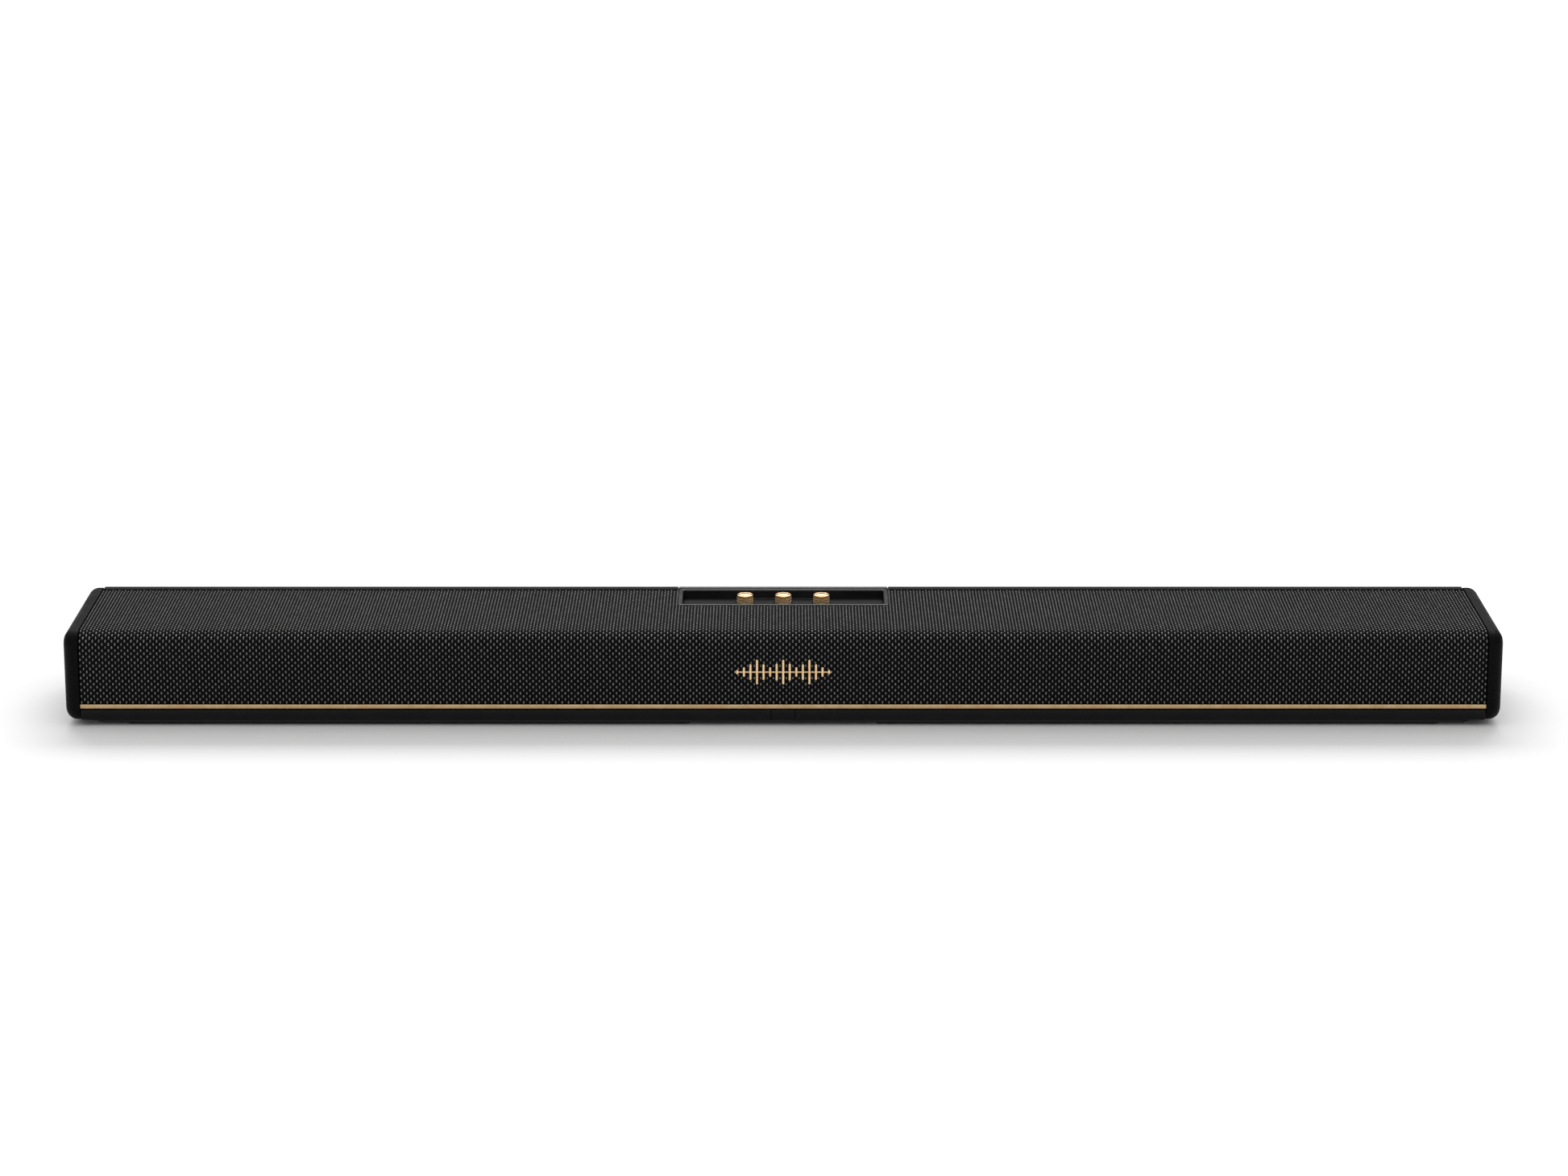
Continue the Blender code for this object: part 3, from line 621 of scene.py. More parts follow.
def cloth_sheet():
    side = cloth_side()
    length = sum(math.dist(a, b) for a, b in zip(side, side[1:]))
    near = [0.0, 0.08, 0.25, 0.5, 0.8, 1.2]
    upright = cloth_high.z - CLOTH_CORNER - cloth_low.z
    bend = CLOTH_CORNER * math.pi / 2
    ups = near + [upright * i / 4 for i in (1, 2, 3)] + [upright + bend * i / 16 for i in range(17)]
    ups += [upright + bend + (length - upright - bend) * i / 6 for i in range(1, 6)]
    ups += [length - d for d in near[::-1]]
    half = cloth_high.x
    rights = [-half + d for d in near] + [-half + 2 * half * i / 24 for i in range(1, 24)]
    rights += [half - d for d in near[::-1]]
    outside, inside = [], []
    for up in ups:
        place, ahead = along(side, up)
        outward = Vector((-ahead.y, ahead.x))
        dips = [max(tucked(min(up, length - up)), tucked(half - abs(x))) for x in rights]
        outside.append([(x, *(place - outward * dip)) for x, dip in zip(rights, dips)])
        inside.append([(x, *(place - outward * CLOTH_THICK)) for x in rights])
    sheet = object_of("cloth_sheet", slab(outside, inside), CLOTH_BASE)
    carved(sheet, plain_prism(panel_gap(PANEL_GAP, 80.0), 64.0, 80.0, "Z"), bevel=0.25)
    return settle(sheet, "root", ["grille_cloth"]), length


CLOTH_BASE = finish("cloth_base", (0.004, 0.004, 0.004), 0.9, specular=0.05)
tinted(CLOTH_BASE, patterned(CLOTH_BASE, "Slow drift", Patch=0.002, Low=0.0, High=1.0)["Value"],
       (0.003, 0.003, 0.003), (0.006, 0.006, 0.0062))
sheet, cloth_length = cloth_sheet()
print("cloth from edge to edge:", round(cloth_length, 1), "mm")

# %% [markdown]
# ## The weave
#
# The cloth is a plain weave of two yarns: a grey one that runs up the front and back over the top, and a
# black one that runs from end to end. Each yarn shows as a short float where it passes over the other, so
# the grey floats stand in a chequerboard, and the black floats fill the places between. Geometry Nodes lays
# one small closed float on each crossing, following the cloth's side view, and leaves out those in the
# panel's gap. The grey floats come in three tones, because real yarn varies, and a plain tone per float
# needs no texture at all.

# %% Node tree for the floats


def socket_ids(tree):
    return {item.name: item.identifier for item in tree.interface.items_tree if item.item_type == "SOCKET"}


def given_inputs(piece, tree, **values):
    """A Geometry Nodes modifier on the piece, with its named inputs set, worked into a plain mesh."""
    grown = piece.modifiers.new(tree.name, "NODES")
    grown.node_group = tree
    names = socket_ids(tree)
    for label, value in values.items():
        grown[names[label.replace("_", " ")]] = value
    piece.update_tag()
    bpy.context.view_layer.update()
    return applied(piece)


def geometry_tree(name, numbers, materials):
    tree = bpy.data.node_groups.new(name, "GeometryNodeTree")
    tree.interface.new_socket("Geometry", in_out="INPUT", socket_type="NodeSocketGeometry")
    for label, value in numbers.items():
        kind = "Int" if isinstance(value, int) else "Float"
        tree.interface.new_socket(label, in_out="INPUT",
                                  socket_type=f"NodeSocket{kind}").default_value = value
    for label in materials:
        tree.interface.new_socket(label, in_out="INPUT", socket_type="NodeSocketMaterial")
    tree.interface.new_socket("Geometry", in_out="OUTPUT", socket_type="NodeSocketGeometry")
    return tree, tree.nodes.new("NodeGroupInput").outputs, tree.nodes.new("NodeGroupOutput").inputs


def triple(tree, x, y, z):
    return node(tree, "ShaderNodeCombineXYZ", X=x, Y=y, Z=z).outputs[0]


def stored(tree, geometry, name, value, domain="POINT", kind="FLOAT"):
    added = node(tree, "GeometryNodeStoreNamedAttribute", {"data_type": kind, "domain": domain},
                 Geometry=geometry,
                 Name=name)
    fed(tree, added.inputs["Value"], value)
    return added.outputs[0]


def named(tree, name, kind="FLOAT"):
    return node(tree, "GeometryNodeInputNamedAttribute", {"data_type": kind}, Name=name).outputs["Attribute"]


def outside_gap(tree, given, points):
    """Leaves out the points inside the panel's round-cornered gap."""
    split = node(tree, "ShaderNodeSeparateXYZ",
                 Vector=node(tree, "GeometryNodeInputPosition").outputs[0]).outputs
    flat = maths(tree, "SUBTRACT", given["Gap half"], given["Gap corner"])
    beside = maths(tree, "SUBTRACT", maths(tree, "ABSOLUTE", split[0]), flat)
    before = maths(tree, "SUBTRACT", maths(tree, "ADD", given["Gap front"], given["Gap corner"]), split[1])
    square = [maths(tree, "POWER", maths(tree, "MAXIMUM", side, 0.0), 2.0) for side in (beside, before)]
    inside = maths(tree, "LESS_THAN", maths(tree, "SQRT", maths(tree, "ADD", *square)), given["Gap corner"])
    return node(tree, "GeometryNodeDeleteGeometry", Geometry=points, Selection=inside).outputs[0]


def yarn_floats():
    """Floats of one yarn on a chequerboard that follows the side view given as the geometry."""
    sizes = {
        "Columns": 100, "First": 0, "Rows": 37, "Shift": 0, "Seed": 1, "Across": 0.00245, "Along": 0.00242,
        "Left": -0.5, "Width": 0.001, "Length": 0.001, "Height": 0.001, "Lift": 0.0, "Gap half": 0.08,
        "Gap front": 0.01, "Gap corner": 0.005,
    }
    tree, given, results = geometry_tree("Yarn floats", sizes, ["Dark", "Middle", "Light"])
    index = node(tree, "GeometryNodeInputIndex").outputs[0]
    column = maths(tree, "ADD", maths(tree, "MODULO", index, given["Columns"]), given["First"])
    row = maths(tree, "FLOOR", maths(tree, "DIVIDE", index, given["Columns"]))
    odd = maths(tree, "MODULO", maths(tree, "ADD", column, given["Shift"]), 2.0)
    up = maths(tree, "MULTIPLY", maths(tree, "ADD", maths(tree, "MULTIPLY_ADD", row, 2.0, odd), 0.5),
               given["Along"])
    right = maths(tree, "MULTIPLY_ADD", column, given["Across"], given["Left"])
    line = node(tree, "GeometryNodeMeshToCurve", Mesh=given["Geometry"]).outputs[0]
    spot = node(tree, "GeometryNodeSampleCurve", {"mode": "LENGTH"}, Curves=line, Length=up).outputs
    outward = vector_maths(tree, "CROSS_PRODUCT", (1.0, 0.0, 0.0), spot["Tangent"])
    lifted = node(tree, "ShaderNodeVectorMath", {"operation": "SCALE"}, Scale=given["Lift"])
    fed(tree, lifted.inputs[0], outward)
    place = vector_maths(tree, "ADD", spot["Position"], lifted.outputs[0])
    place = vector_maths(tree, "ADD", place, triple(tree, right, 0.0, 0.0))
    count = maths(tree, "MULTIPLY", given["Columns"], given["Rows"])
    points = node(tree, "GeometryNodePoints", Count=count, Position=place).outputs[0]
    ahead = node(tree, "ShaderNodeSeparateXYZ", Vector=spot["Tangent"]).outputs
    points = stored(tree, points, "tilt", maths(tree, "ARCTAN2", ahead[2], ahead[1]))
    points = outside_gap(tree, given, points)
    turn = node(tree, "FunctionNodeEulerToRotation",
                Euler=triple(tree, named(tree, "tilt"), 0.0, 0.0)).outputs[0]
    spread = node(tree, "FunctionNodeRandomValue", {"data_type": "FLOAT_VECTOR"}, Seed=given["Seed"])
    fed(tree, spread.inputs[0], (0.9, 0.9, 0.9))
    fed(tree, spread.inputs[1], (1.1, 1.1, 1.1))
    size = vector_maths(tree, "MULTIPLY", spread.outputs[0],
                        triple(tree, given["Width"], given["Length"], given["Height"]))
    ball = node(tree, "GeometryNodeMeshIcoSphere", Radius=1.0, Subdivisions=1).outputs[0]
    laid = node(tree, "GeometryNodeInstanceOnPoints", Points=points, Instance=ball, Rotation=turn,
                Scale=size).outputs[0]
    tone = node(tree, "FunctionNodeRandomValue", {"data_type": "INT"},
                Seed=maths(tree, "ADD", given["Seed"], 7))
    fed(tree, tone.inputs[4], 0)
    fed(tree, tone.inputs[5], 2)
    laid = stored(tree, laid, "tone", tone.outputs[2], "INSTANCE", "INT")
    whole = node(tree, "GeometryNodeRealizeInstances", Geometry=laid).outputs[0]
    for value, label in enumerate(("Dark", "Middle", "Light")):
        same = node(tree, "FunctionNodeCompare", {"data_type": "INT", "operation": "EQUAL"})
        fed(tree, same.inputs[2], named(tree, "tone", "INT"))
        fed(tree, same.inputs[3], value)
        whole = node(tree, "GeometryNodeSetMaterial", Geometry=whole, Selection=same.outputs[0],
                     Material=given[label]).outputs[0]
    fed(tree, results["Geometry"], whole)
    return tree


# %% Lay the floats
YARN_PITCH, COLUMNS, ROWS = 2.45, 439, 37


def side_view():
    """A mesh line along the cloth's outer face, for the floats to follow."""
    mesh = bpy.data.meshes.new("side_view")
    line = [Vector((0.0, y, z)) * MM for y, z in cloth_side(24)]
    mesh.from_pydata(line, [(i, i + 1) for i in range(len(line) - 1)], [])
    return mesh


def lay(name, tree, tones, first, count, **sizes):
    piece = bpy.data.objects.new(name, side_view())
    bpy.context.scene.collection.objects.link(piece)
    gap = {"Gap_half": (bezel_high.x + PANEL_GAP) * MM, "Gap_front": (bezel_low.y - PANEL_GAP) * MM,
           "Gap_corner": (PANEL_CORNER + PANEL_GAP) * MM}
    given_inputs(piece, tree, Columns=count, First=first, Rows=ROWS,
                 Left=-YARN_PITCH * (COLUMNS - 1) / 2 * MM,
                 Across=YARN_PITCH * MM, Dark=tones[0], Middle=tones[1], Light=tones[2], **gap, **sizes)
    for left_over in ("tone", "tilt"):
        if left_over in piece.data.attributes:
            piece.data.attributes.remove(piece.data.attributes[left_over])
    piece.data.shade_smooth()
    return settle(piece, "root")


GREYS = [finish(f"grey_yarn_{i}", (g, g, g), 0.2, specular=1.0) for i, g in enumerate((0.068, 0.084, 0.102))]
BLACKS = [finish(f"black_yarn_{i}", (g, g, g), 0.6, specular=0.05)
          for i, g in enumerate((0.003, 0.0045, 0.006))]
floats = yarn_floats()
half_way = COLUMNS // 2
for label, first, count in (("left", 0, half_way), ("right", half_way, COLUMNS - half_way)):
    lay(f"grey_yarn_{label}", floats, GREYS, first, count, Shift=0, Seed=3 + first, Width=0.0008,
                     Length=0.00145, Height=0.0004, Lift=0.00004)
    lay(f"black_yarn_{label}", floats, BLACKS, first, count, Shift=1,
                     Seed=5 + first, Width=0.0012,
                     Length=0.0008, Height=0.0003, Lift=0.0)

# %% [markdown]
# ## Trim, fascia and receiver window
#
# The strip is extruded brass-coloured metal with a barely crowned face. Under it, the lower fascia leans
# back and curls under the bar. It comes in two lengths, with a short window of glossier plastic for the
# remote's receiver.

# %% Long strips


def curve_through(points, steps=4):
    """A smooth line through points (Catmull-Rom)."""
    ends = [points[0], *points, points[-1]]
    line = []
    for a, b, c, d in zip(ends, ends[1:], ends[2:], ends[3:]):
        for i in range(steps):
            t = i / steps
            line.append(tuple(
                0.5 * (2 * q + (r - p) * t + (2 * p - 5 * q + 4 * r - s) * t * t + (3 * q - p - 3 * r + s) * t ** 3)
                for p, q, r, s in zip(a, b, c, d)))
    return [*line, points[-1]]


def brass_strip():
    low, high = corners("brass_trim")
    front, back, middle = low.y, low.y + 2.1, (low.z + high.z) / 2
    crown = 0.12
    face = [*arc((front + 0.5 + crown, high.z - 0.5), 0.5, 90, 170, 5), (front, middle),
            *arc((front + 0.5 + crown, low.z + 0.5), 0.5, 190, 270, 5)]
    profile = [*face, (back, low.z), (back, middle - 0.8), (high.y, middle - 0.8), (high.y, middle + 0.8),
               (back, middle + 0.8), (back, high.z)]
    made("brass_strip", rounded_prism(profile, low.x, high.x, "X", 0.15), TRIM_BRASS,
         stands_for=["brass_trim"])


def fascia_strips():
    low, high = corners("fascia_left")
    front, back = low.y, high.y
    shape = curve_through([(front + 0.7, high.z), (front + 0.12, high.z - 0.7), (front + 0.08, high.z - 2.2),
                           (front + 0.3, high.z - 4.6), (front + 0.95, high.z - 6.6),
                           (front + 1.8, low.z + 0.4)])
    profile = [*shape, (front + 2.9, low.z), (back, low.z), (back, low.z + 1.8), (front + 4.2, low.z + 1.8),
               (front + 2.7, low.z + 3), (front + 2.3, high.z - 2), (back, high.z - 2), (back, high.z)]
    pieces = {"fascia_left": ("fascia_left_strip", FASCIA), "fascia_right": ("fascia_right_strip", FASCIA),
              "receiver_window": ("receiver_lens", WINDOW)}
    for part, (name, finish_used) in pieces.items():
        ends = corners(part)
        made(name, rounded_prism(profile, ends[0].x, ends[1].x, "X", 0.35), finish_used,
             stands_for=[part])


brass_strip()
fascia_strips()
print("strips made")

# %% [markdown]
# ## Emblem
#
# The badge is a plain figure and carries no mark: a row of round-ended bars, like the level of a sound, on
# one thin line. Real badges like it are zinc castings with a soft edge, so each bar is a domed prism of its
# own.

# %% Emblem
BAR_HEIGHTS = [4, 8, 13, 20, 13, 8, 14, 20, 14, 8, 13, 20, 13, 8, 4]
BAR_PITCH, BAR_WIDTH = 5.0, 2.0


def emblem():
    low, high = corners("emblem")
    middle = (low.z + high.z) / 2
    bars = []
    for i, tall in enumerate(BAR_HEIGHTS):
        x = (i - (len(BAR_HEIGHTS) - 1) / 2) * BAR_PITCH
        outline = [(x - v, middle + u) for u, v in racetrack(tall, BAR_WIDTH, 10)]
        bars.append(domed(outline, low.y, high.y))
    line = [(u, middle + v) for u, v in racetrack(high.x - low.x, 1.0, 8)]
    made("sound_wave_badge", merged(*bars, domed(line, low.y + 0.15, high.y, 0.35)), EMBLEM_GOLD,
         stands_for=["emblem"])


def domed(outline, front, back, rise=0.75):
    """An outline in X and Z with a flat back and a face that swells towards -Y."""
    rings = [(back, 0.0), (front + rise, 0.0)]
    rings += [(front + rise * (1 - math.sin(t)), rise * 0.9 * (1 - math.cos(t))) for t in quarter(5)[1:]]
    return skin([[(u, y, v) for u, v in shrunk(outline, inset)] for y, inset in rings])


emblem()
print("emblem made")

# %% [markdown]
# ## Control panel
#
# A glossy tub sits in the top: a raised lip on three sides, a closing strip at the back that carries on the
# cabinet's rounded rear edge, and a sunk plate of brushed black metal. The strip is a separate moulding, so
# a fine groove shows where the two meet. A dark seal fills the gap between each end of the strip and the
# rim beside it.

# %% Lip and closing strip
BEZEL_BAR, WELL_BACK, PLATE_TOP, RIM_ROUND = 3.8, 56.0, 68.3, 8.0
GROOVE_FRONT, GROOVE_BACK, LIP_EDGE = 60.5, 61.3, 1.1
KNOB_HOLE = 7.3
knobs_at = {place: (sum(corners(f"knob_{place}"), Vector()) / 2).to_tuple()
            for place in ("left", "middle", "right")}


def cornered(low, high, front_radius, back_radius, steps=8):
    """A rectangle with one radius at its two front corners and another at the back."""
    (x0, y0), (x1, y1) = low, high
    f, b = front_radius, back_radius
    return [*arc((x1 - f, y0 + f), f, -90, 0, steps), *arc((x1 - b, y1 - b), b, 0, 90, steps),
            *arc((x0 + b, y1 - b), b, 90, 180, steps), *arc((x0 + f, y0 + f), f, 180, 270, steps)]


def panel_housing():
    low, high = bezel_low, bezel_high
    outer = cornered((low.x, low.y), (high.x, GROOVE_FRONT), PANEL_CORNER, 0.6)
    inner = cornered((low.x + BEZEL_BAR, low.y + BEZEL_BAR), (high.x - BEZEL_BAR, WELL_BACK), 2.0, 2.0)
    lip = ring_frame(outer, inner, low.z + 2, high.z, LIP_EDGE)
    floor = plain_prism(rounded_rectangle((low.x + 2, low.y + 2), (high.x - 2, 66.0), 2.0), 64.9, 66.5, "Z")
    under = plain_prism(rounded_rectangle((low.x + 2, WELL_BACK + 1), (high.x - 2, 66.0), 0.5), 64.7,
                        73.6, "Z")
    made("panel_lip", merged(lip, floor, under), BEZEL, stands_for=["control_bezel"])
    centre = (high.y - RIM_ROUND, high.z - RIM_ROUND)
    profile = [(GROOVE_BACK, low.z + 3), (high.y - 3, low.z + 3), (high.y - 3, low.z + 0.3),
               (high.y, low.z + 0.3),
               *arc(centre, RIM_ROUND, 0, 90, 12), *arc((GROOVE_BACK + 1.4, high.z - 1.4), 1.4, 90, 180, 6)]
    made("panel_closing_strip", rounded_prism(profile, low.x, high.x, "X", 0.5), BEZEL)
    for side in (-1, 1):
        ends = sorted((side * (high.x - 0.4), side * (high.x + 0.9)))
        gasket = rounded_prism(shrunk(profile, 1.3), *ends, "X", 0.1, 2)
        made("gap_seal_left" if side < 0 else "gap_seal_right", gasket, RUBBER)


panel_housing()

# %% Brushed plate


def control_plate():
    low, high = corners("control_plate")
    plate = object_of("panel_plate",
                      rounded_prism(cornered(low.xy, high.xy, 1.7, 1.7), low.z, high.z, "Z", 0.15),
                      PLATE)
    holes = [plain_prism(circle(KNOB_HOLE, 64, (x, y)), low.z - 2, high.z + 2, "Z")
             for x, y, _ in knobs_at.values()]
    carved(plate, *holes, bevel=0.15)
    settle(plate, "root", ["control_plate"])


DOT_RING = 10.6
DOT_ANGLE = 9
PRINT = finish("printed_grey", (0.10, 0.10, 0.10), 0.6, specular=0.2)
tinted(PRINT, patterned(PRINT, "Slow drift", Patch=0.003, Low=0.0, High=1.0)["Value"], (0.09, 0.09, 0.09),
       (0.13, 0.13, 0.13))


def printed_marks():
    """Thin lines behind the knobs and two arcs of dots beside the middle one, printed in grey."""
    deep, high = 0.02, PLATE_TOP + 0.02
    parts = []
    for x in (-15.0, 15.0):
        parts.append(plain_prism(rounded_rectangle((x - 8.5, 53.4), (x + 8.5, 53.9), 0.2, 2),
                                 high - deep, high, "Z"))
        parts.append(plain_prism(rounded_rectangle((x - 8.5, 54.7), (x + 8.5, 54.95), 0.1, 2),
                                 high - deep, high, "Z"))
    centre = knobs_at["middle"]
    for side in (0, 180):
        for step in range(-4, 5):
            turn = math.radians(side + step * DOT_ANGLE)
            spot = (centre[0] + DOT_RING * math.cos(turn), centre[1] + DOT_RING * math.sin(turn))
            size = 0.22 + 0.05 * (4 - abs(step)) / 4
            parts.append(plain_prism(circle(size, 10, spot), high - deep, high, "Z"))
    made("printed_marks", merged(*parts), PRINT)


control_plate()
printed_marks()
print("panel made")

# %% [markdown]
# ## Knobs
#
# Each knob is turned brass. Its side carries five rows of small upright teeth with a plain groove between
# the rows, and its top steps in from a bright rim to a low dome. The teeth are part of the skin: the radius
# of each ring dips between teeth, so no separate tooth is needed, and the knob stays one closed surface.

# %% Knurled knob
KNOB_RADIUS, TEETH, POINTS_PER_TOOTH, TOOTH_DEEP = 6.45, 40, 6, 0.28
ROWS_OF_TEETH, ROW_LOW, ROW_PITCH, ROW_TALL = 5, 66.9, 1.4, 1.1


def tooth(turn):
    """1 on a tooth and 0 between two teeth, with a soft flank."""
    wave = math.cos(turn * TEETH)
    return max(0.0, min(1.0, 0.5 + 1.1 * wave))


def knob_rings():
    """(radius, height, share of tooth depth) from the lower edge to the middle of the top."""
    rings = [(KNOB_RADIUS - 1.0, 66.1, 0.0), (KNOB_RADIUS - 0.45, 66.1, 0.0), (KNOB_RADIUS - 0.35, 66.3, 0.0)]
    for row in range(ROWS_OF_TEETH):
        low = ROW_LOW + row * ROW_PITCH
        rings += [(KNOB_RADIUS - 0.42, low - 0.12, 0.0), (KNOB_RADIUS - 0.18, low, 0.5),
                  (KNOB_RADIUS, low + 0.14, 1.0),
                  (KNOB_RADIUS, low + ROW_TALL - 0.14, 1.0), (KNOB_RADIUS - 0.18, low + ROW_TALL, 0.5),
                  (KNOB_RADIUS - 0.42, low + ROW_TALL + 0.12, 0.0)]
    top = ROW_LOW + ROWS_OF_TEETH * ROW_PITCH
    rim = [(KNOB_RADIUS - 0.05, top), (KNOB_RADIUS, top + 0.12), (KNOB_RADIUS - 0.02, 74.6),
           (KNOB_RADIUS - 0.15, 74.95), (KNOB_RADIUS - 0.45, 75.22), (KNOB_RADIUS - 0.85, 75.34),
           (KNOB_RADIUS - 1.15, 75.3), (KNOB_RADIUS - 1.35, 75.1), (KNOB_RADIUS - 1.5, 74.88),
           (KNOB_RADIUS - 1.75, 74.86), (KNOB_RADIUS - 1.92, 75.05), (KNOB_RADIUS - 2.1, 75.28),
           (KNOB_RADIUS - 2.5, 75.52), (KNOB_RADIUS - 3.2, 75.72), (2.0, 75.88), (1.0, 75.96), (0.3, 75.98)]
    return rings + [(r, z, 0.0) for r, z in rim]


def knob(place):
    x, y, _ = knobs_at[place]
    steps = TEETH * POINTS_PER_TOOTH
    rings = []
    for radius, height, share in knob_rings():
        ring = []
        for i in range(steps):
            turn = 2 * math.pi * i / steps
            r = radius - TOOTH_DEEP * share * (1 - tooth(turn))
            ring.append((x + r * math.cos(turn), y + r * math.sin(turn), height))
        rings.append(ring)
    made(f"brass_knob_{place}", skin(rings), KNOB_BRASS, f"knob_{place}",
         [f"knob_{place}"], crease=50)


for place in knobs_at:
    knob(place)
print("knobs made")

# %% [markdown]
# ## Cabinet
#
# The cabinet is a moulded shell in the same leathercloth finish as the caps. Its rounded rear edge shows
# from the front, and the ends of that edge are rounded off, so a small dip shows next to each cap. Its back
# wall has round holes for the bass ports, a long opening for the sockets and two shallow pads for a wall
# bracket.

# %% Tray and back shell
CABINET_WALL, BAY_HALF, BAY_HIGH = 3.0, 112.0, 46.0
PORT_X, PORT_Z, PORT_FLARE = 400.0, 38.0, 21.0
BRACKET_X, BRACKET_Z, BRACKET_DEEP, BRACKET_HOLE = 260.0, 38.0, 1.0, 2.6


def cabinet_tray():
    low, high = corners("cabinet_tray")
    foot = (high.y - 4, low.z + 4)
    profile = [(low.y, low.z), *arc(foot, 4, -90, 0, 8), *arc(foot, 1, 0, -90, 4),
               (low.y, low.z + CABINET_WALL)]
    floor = rounded_prism(profile, low.x, high.x, "X", 0.6, 3)
    ends = [block((x - 1.4, -61.0, low.z + 1), (x + 1.4, high.y - CABINET_WALL - 0.4, 64.5), 0.3)
            for x in (low.x + 1.5, high.x - 1.5)]
    made("leather_tray", merged(floor, *ends), LEATHER, stands_for=["cabinet_tray"])


def back_shell():
    low, high = corners("rear_cabinet")
    wall, rim_front = CABINET_WALL, 57.6
    centre = (high.y - RIM_ROUND, high.z - RIM_ROUND)
    profile = [
        (high.y, low.z), *arc(centre, RIM_ROUND, 0, 90, 12),
        *arc((rim_front + 0.5, high.z - 0.5), 0.5, 90, 180, 3), (rim_front, 65.0), (rim_front + wall, 65.0),
        (rim_front + wall, high.z - wall), *arc(centre, RIM_ROUND - wall, 90, 0, 12), (high.y - wall, low.z),
    ]
    shell = object_of("leather_back_shell", rounded_prism(profile, low.x, high.x, "X", 1.3, 5), LEATHER)
    bay = [(-BAY_HALF, 0.0), (BAY_HALF, 0.0), *arc((BAY_HALF - 1.2, BAY_HIGH - 1.2), 1.2, 0, 90, 4),
           *arc((-BAY_HALF + 1.2, BAY_HIGH - 1.2), 1.2, 90, 180, 4)]
    cuts = [plain_prism(bay, 40.0, 80.0, "Y"),
            plain_prism([(-83.0, 50.0), (83.0, 50.0), (83.0, 80.0), (-83.0, 80.0)], bezel_low.z - 0.3,
                        80.0, "Z")]
    for side in (-1, 1):
        cuts.append(plain_prism(circle(PORT_FLARE + 0.3, 64, (side * PORT_X, PORT_Z)), 60.0, 80.0, "Y"))
        x = side * BRACKET_X
        pad = rounded_rectangle((x - 20, BRACKET_Z - 8), (x + 20, BRACKET_Z + 8), 2.0, 5)
        cuts.append(plain_prism(pad, high.y - BRACKET_DEEP, 80.0, "Y"))
        cuts.append(plain_prism(circle(BRACKET_HOLE, 32, (x, BRACKET_Z)), 60.0, 80.0, "Y"))
    carved(shell, *cuts, bevel=0.35, crease=20)
    settle(shell, "root", ["rear_cabinet"])


def bass_port(side):
    name = "bass_port_left" if side < 0 else "bass_port_right"
    low, high = corners(name)
    centre = ((low.x + high.x) / 2, (low.z + high.z) / 2)
    end = high.y
    bore = curve_through([(17.0, low.y), (15.0, low.y + 3), (14.0, low.y + 8), (14.0, end - 24),
                          (14.0, end - 12),
                          (14.5, end - 7.5), (15.8, end - 4), (17.9, end - 1.3), (19.6, end - 0.25),
                          (20.3, end - 0.02)], 3)
    outside = [(PORT_FLARE - 0.25, end - 0.1), (PORT_FLARE, end - 0.4), (PORT_FLARE, end - 2),
               (16.0, end - 11),
               (16.0, low.y + 7), (18.4, low.y + 0.6), (17.9, low.y)]
    rings = [[(centre[0] + x, y, centre[1] + z) for x, z in circle(r, 64)] for r, y in bore + outside]
    made(name + "_flare", skin(rings, joined=True), MOULDING, stands_for=[name])


cabinet_tray()
back_shell()
bass_port(-1)
bass_port(1)
print("cabinet made")

# %% [markdown]
# ## Sockets
#
# The sockets look out of a recessed tub. Each has what a hand can see in it: round blades in the mains
# inlet, eight sprung contacts in the network socket, a folded steel shell round the tongue of each video
# socket, and a plated barrel with an insulating ring for each line socket.

# %% Socket tub
SOCKET_Z, SOCKET_FACE = 29.0, 54.0
BODIES = {"mains_inlet": (-84.0, 24.0, 17.0), "network_socket": (-46.0, 17.0, 15.0),
          "video_socket_in": (-14.0, 19.0, 9.5), "video_socket_out": (16.0, 19.0, 9.5),
          "line_sockets": (82.0, 48.0, 15.0)}


def socket_tub():
    low, high = corners("socket_bay")
    tub = object_of("socket_tub",
                    rounded_prism(rounded_rectangle((low.x, low.z), (high.x, high.z), 1.0, 4), low.y,
                                                high.y, "Y", 0.3), MOULDING)
    pocket = rounded_rectangle((low.x + 2, low.z + 5.3), (high.x - 2, high.z - 2), 2.5, 6)
    holes = [plain_prism([(x - w / 2 - 0.3, SOCKET_Z - h / 2 - 0.3),
                          (x + w / 2 + 0.3, SOCKET_Z - h / 2 - 0.3),
                          (x + w / 2 + 0.3, SOCKET_Z + h / 2 + 0.3),
                          (x - w / 2 - 0.3, SOCKET_Z + h / 2 + 0.3)],
                         low.y - 2, high.y + 2, "Y") for x, w, h in BODIES.values()]
    carved(tub, plain_prism(pocket, low.y + 2, high.y + 5, "Y"), *holes, bevel=0.3, crease=20)
    settle(tub, "root", ["socket_bay"])


def housing(name, mouths, deep):
    """The body of a socket, with one or more mouths cut into its face."""
    low, high = corners(name)
    face = SOCKET_FACE
    body = object_of(name + "_body",
                     rounded_prism(rounded_rectangle((low.x, low.z), (high.x, high.z), 0.8, 4),
                                                   low.y, face, "Y", 0.35), SOCKET)
    carved(body, *[plain_prism(mouth, face - deep, face + 3, "Y") for mouth in mouths], bevel=0.2, crease=20)
    settle(body, "root", [name])
    return (low.x + high.x) / 2


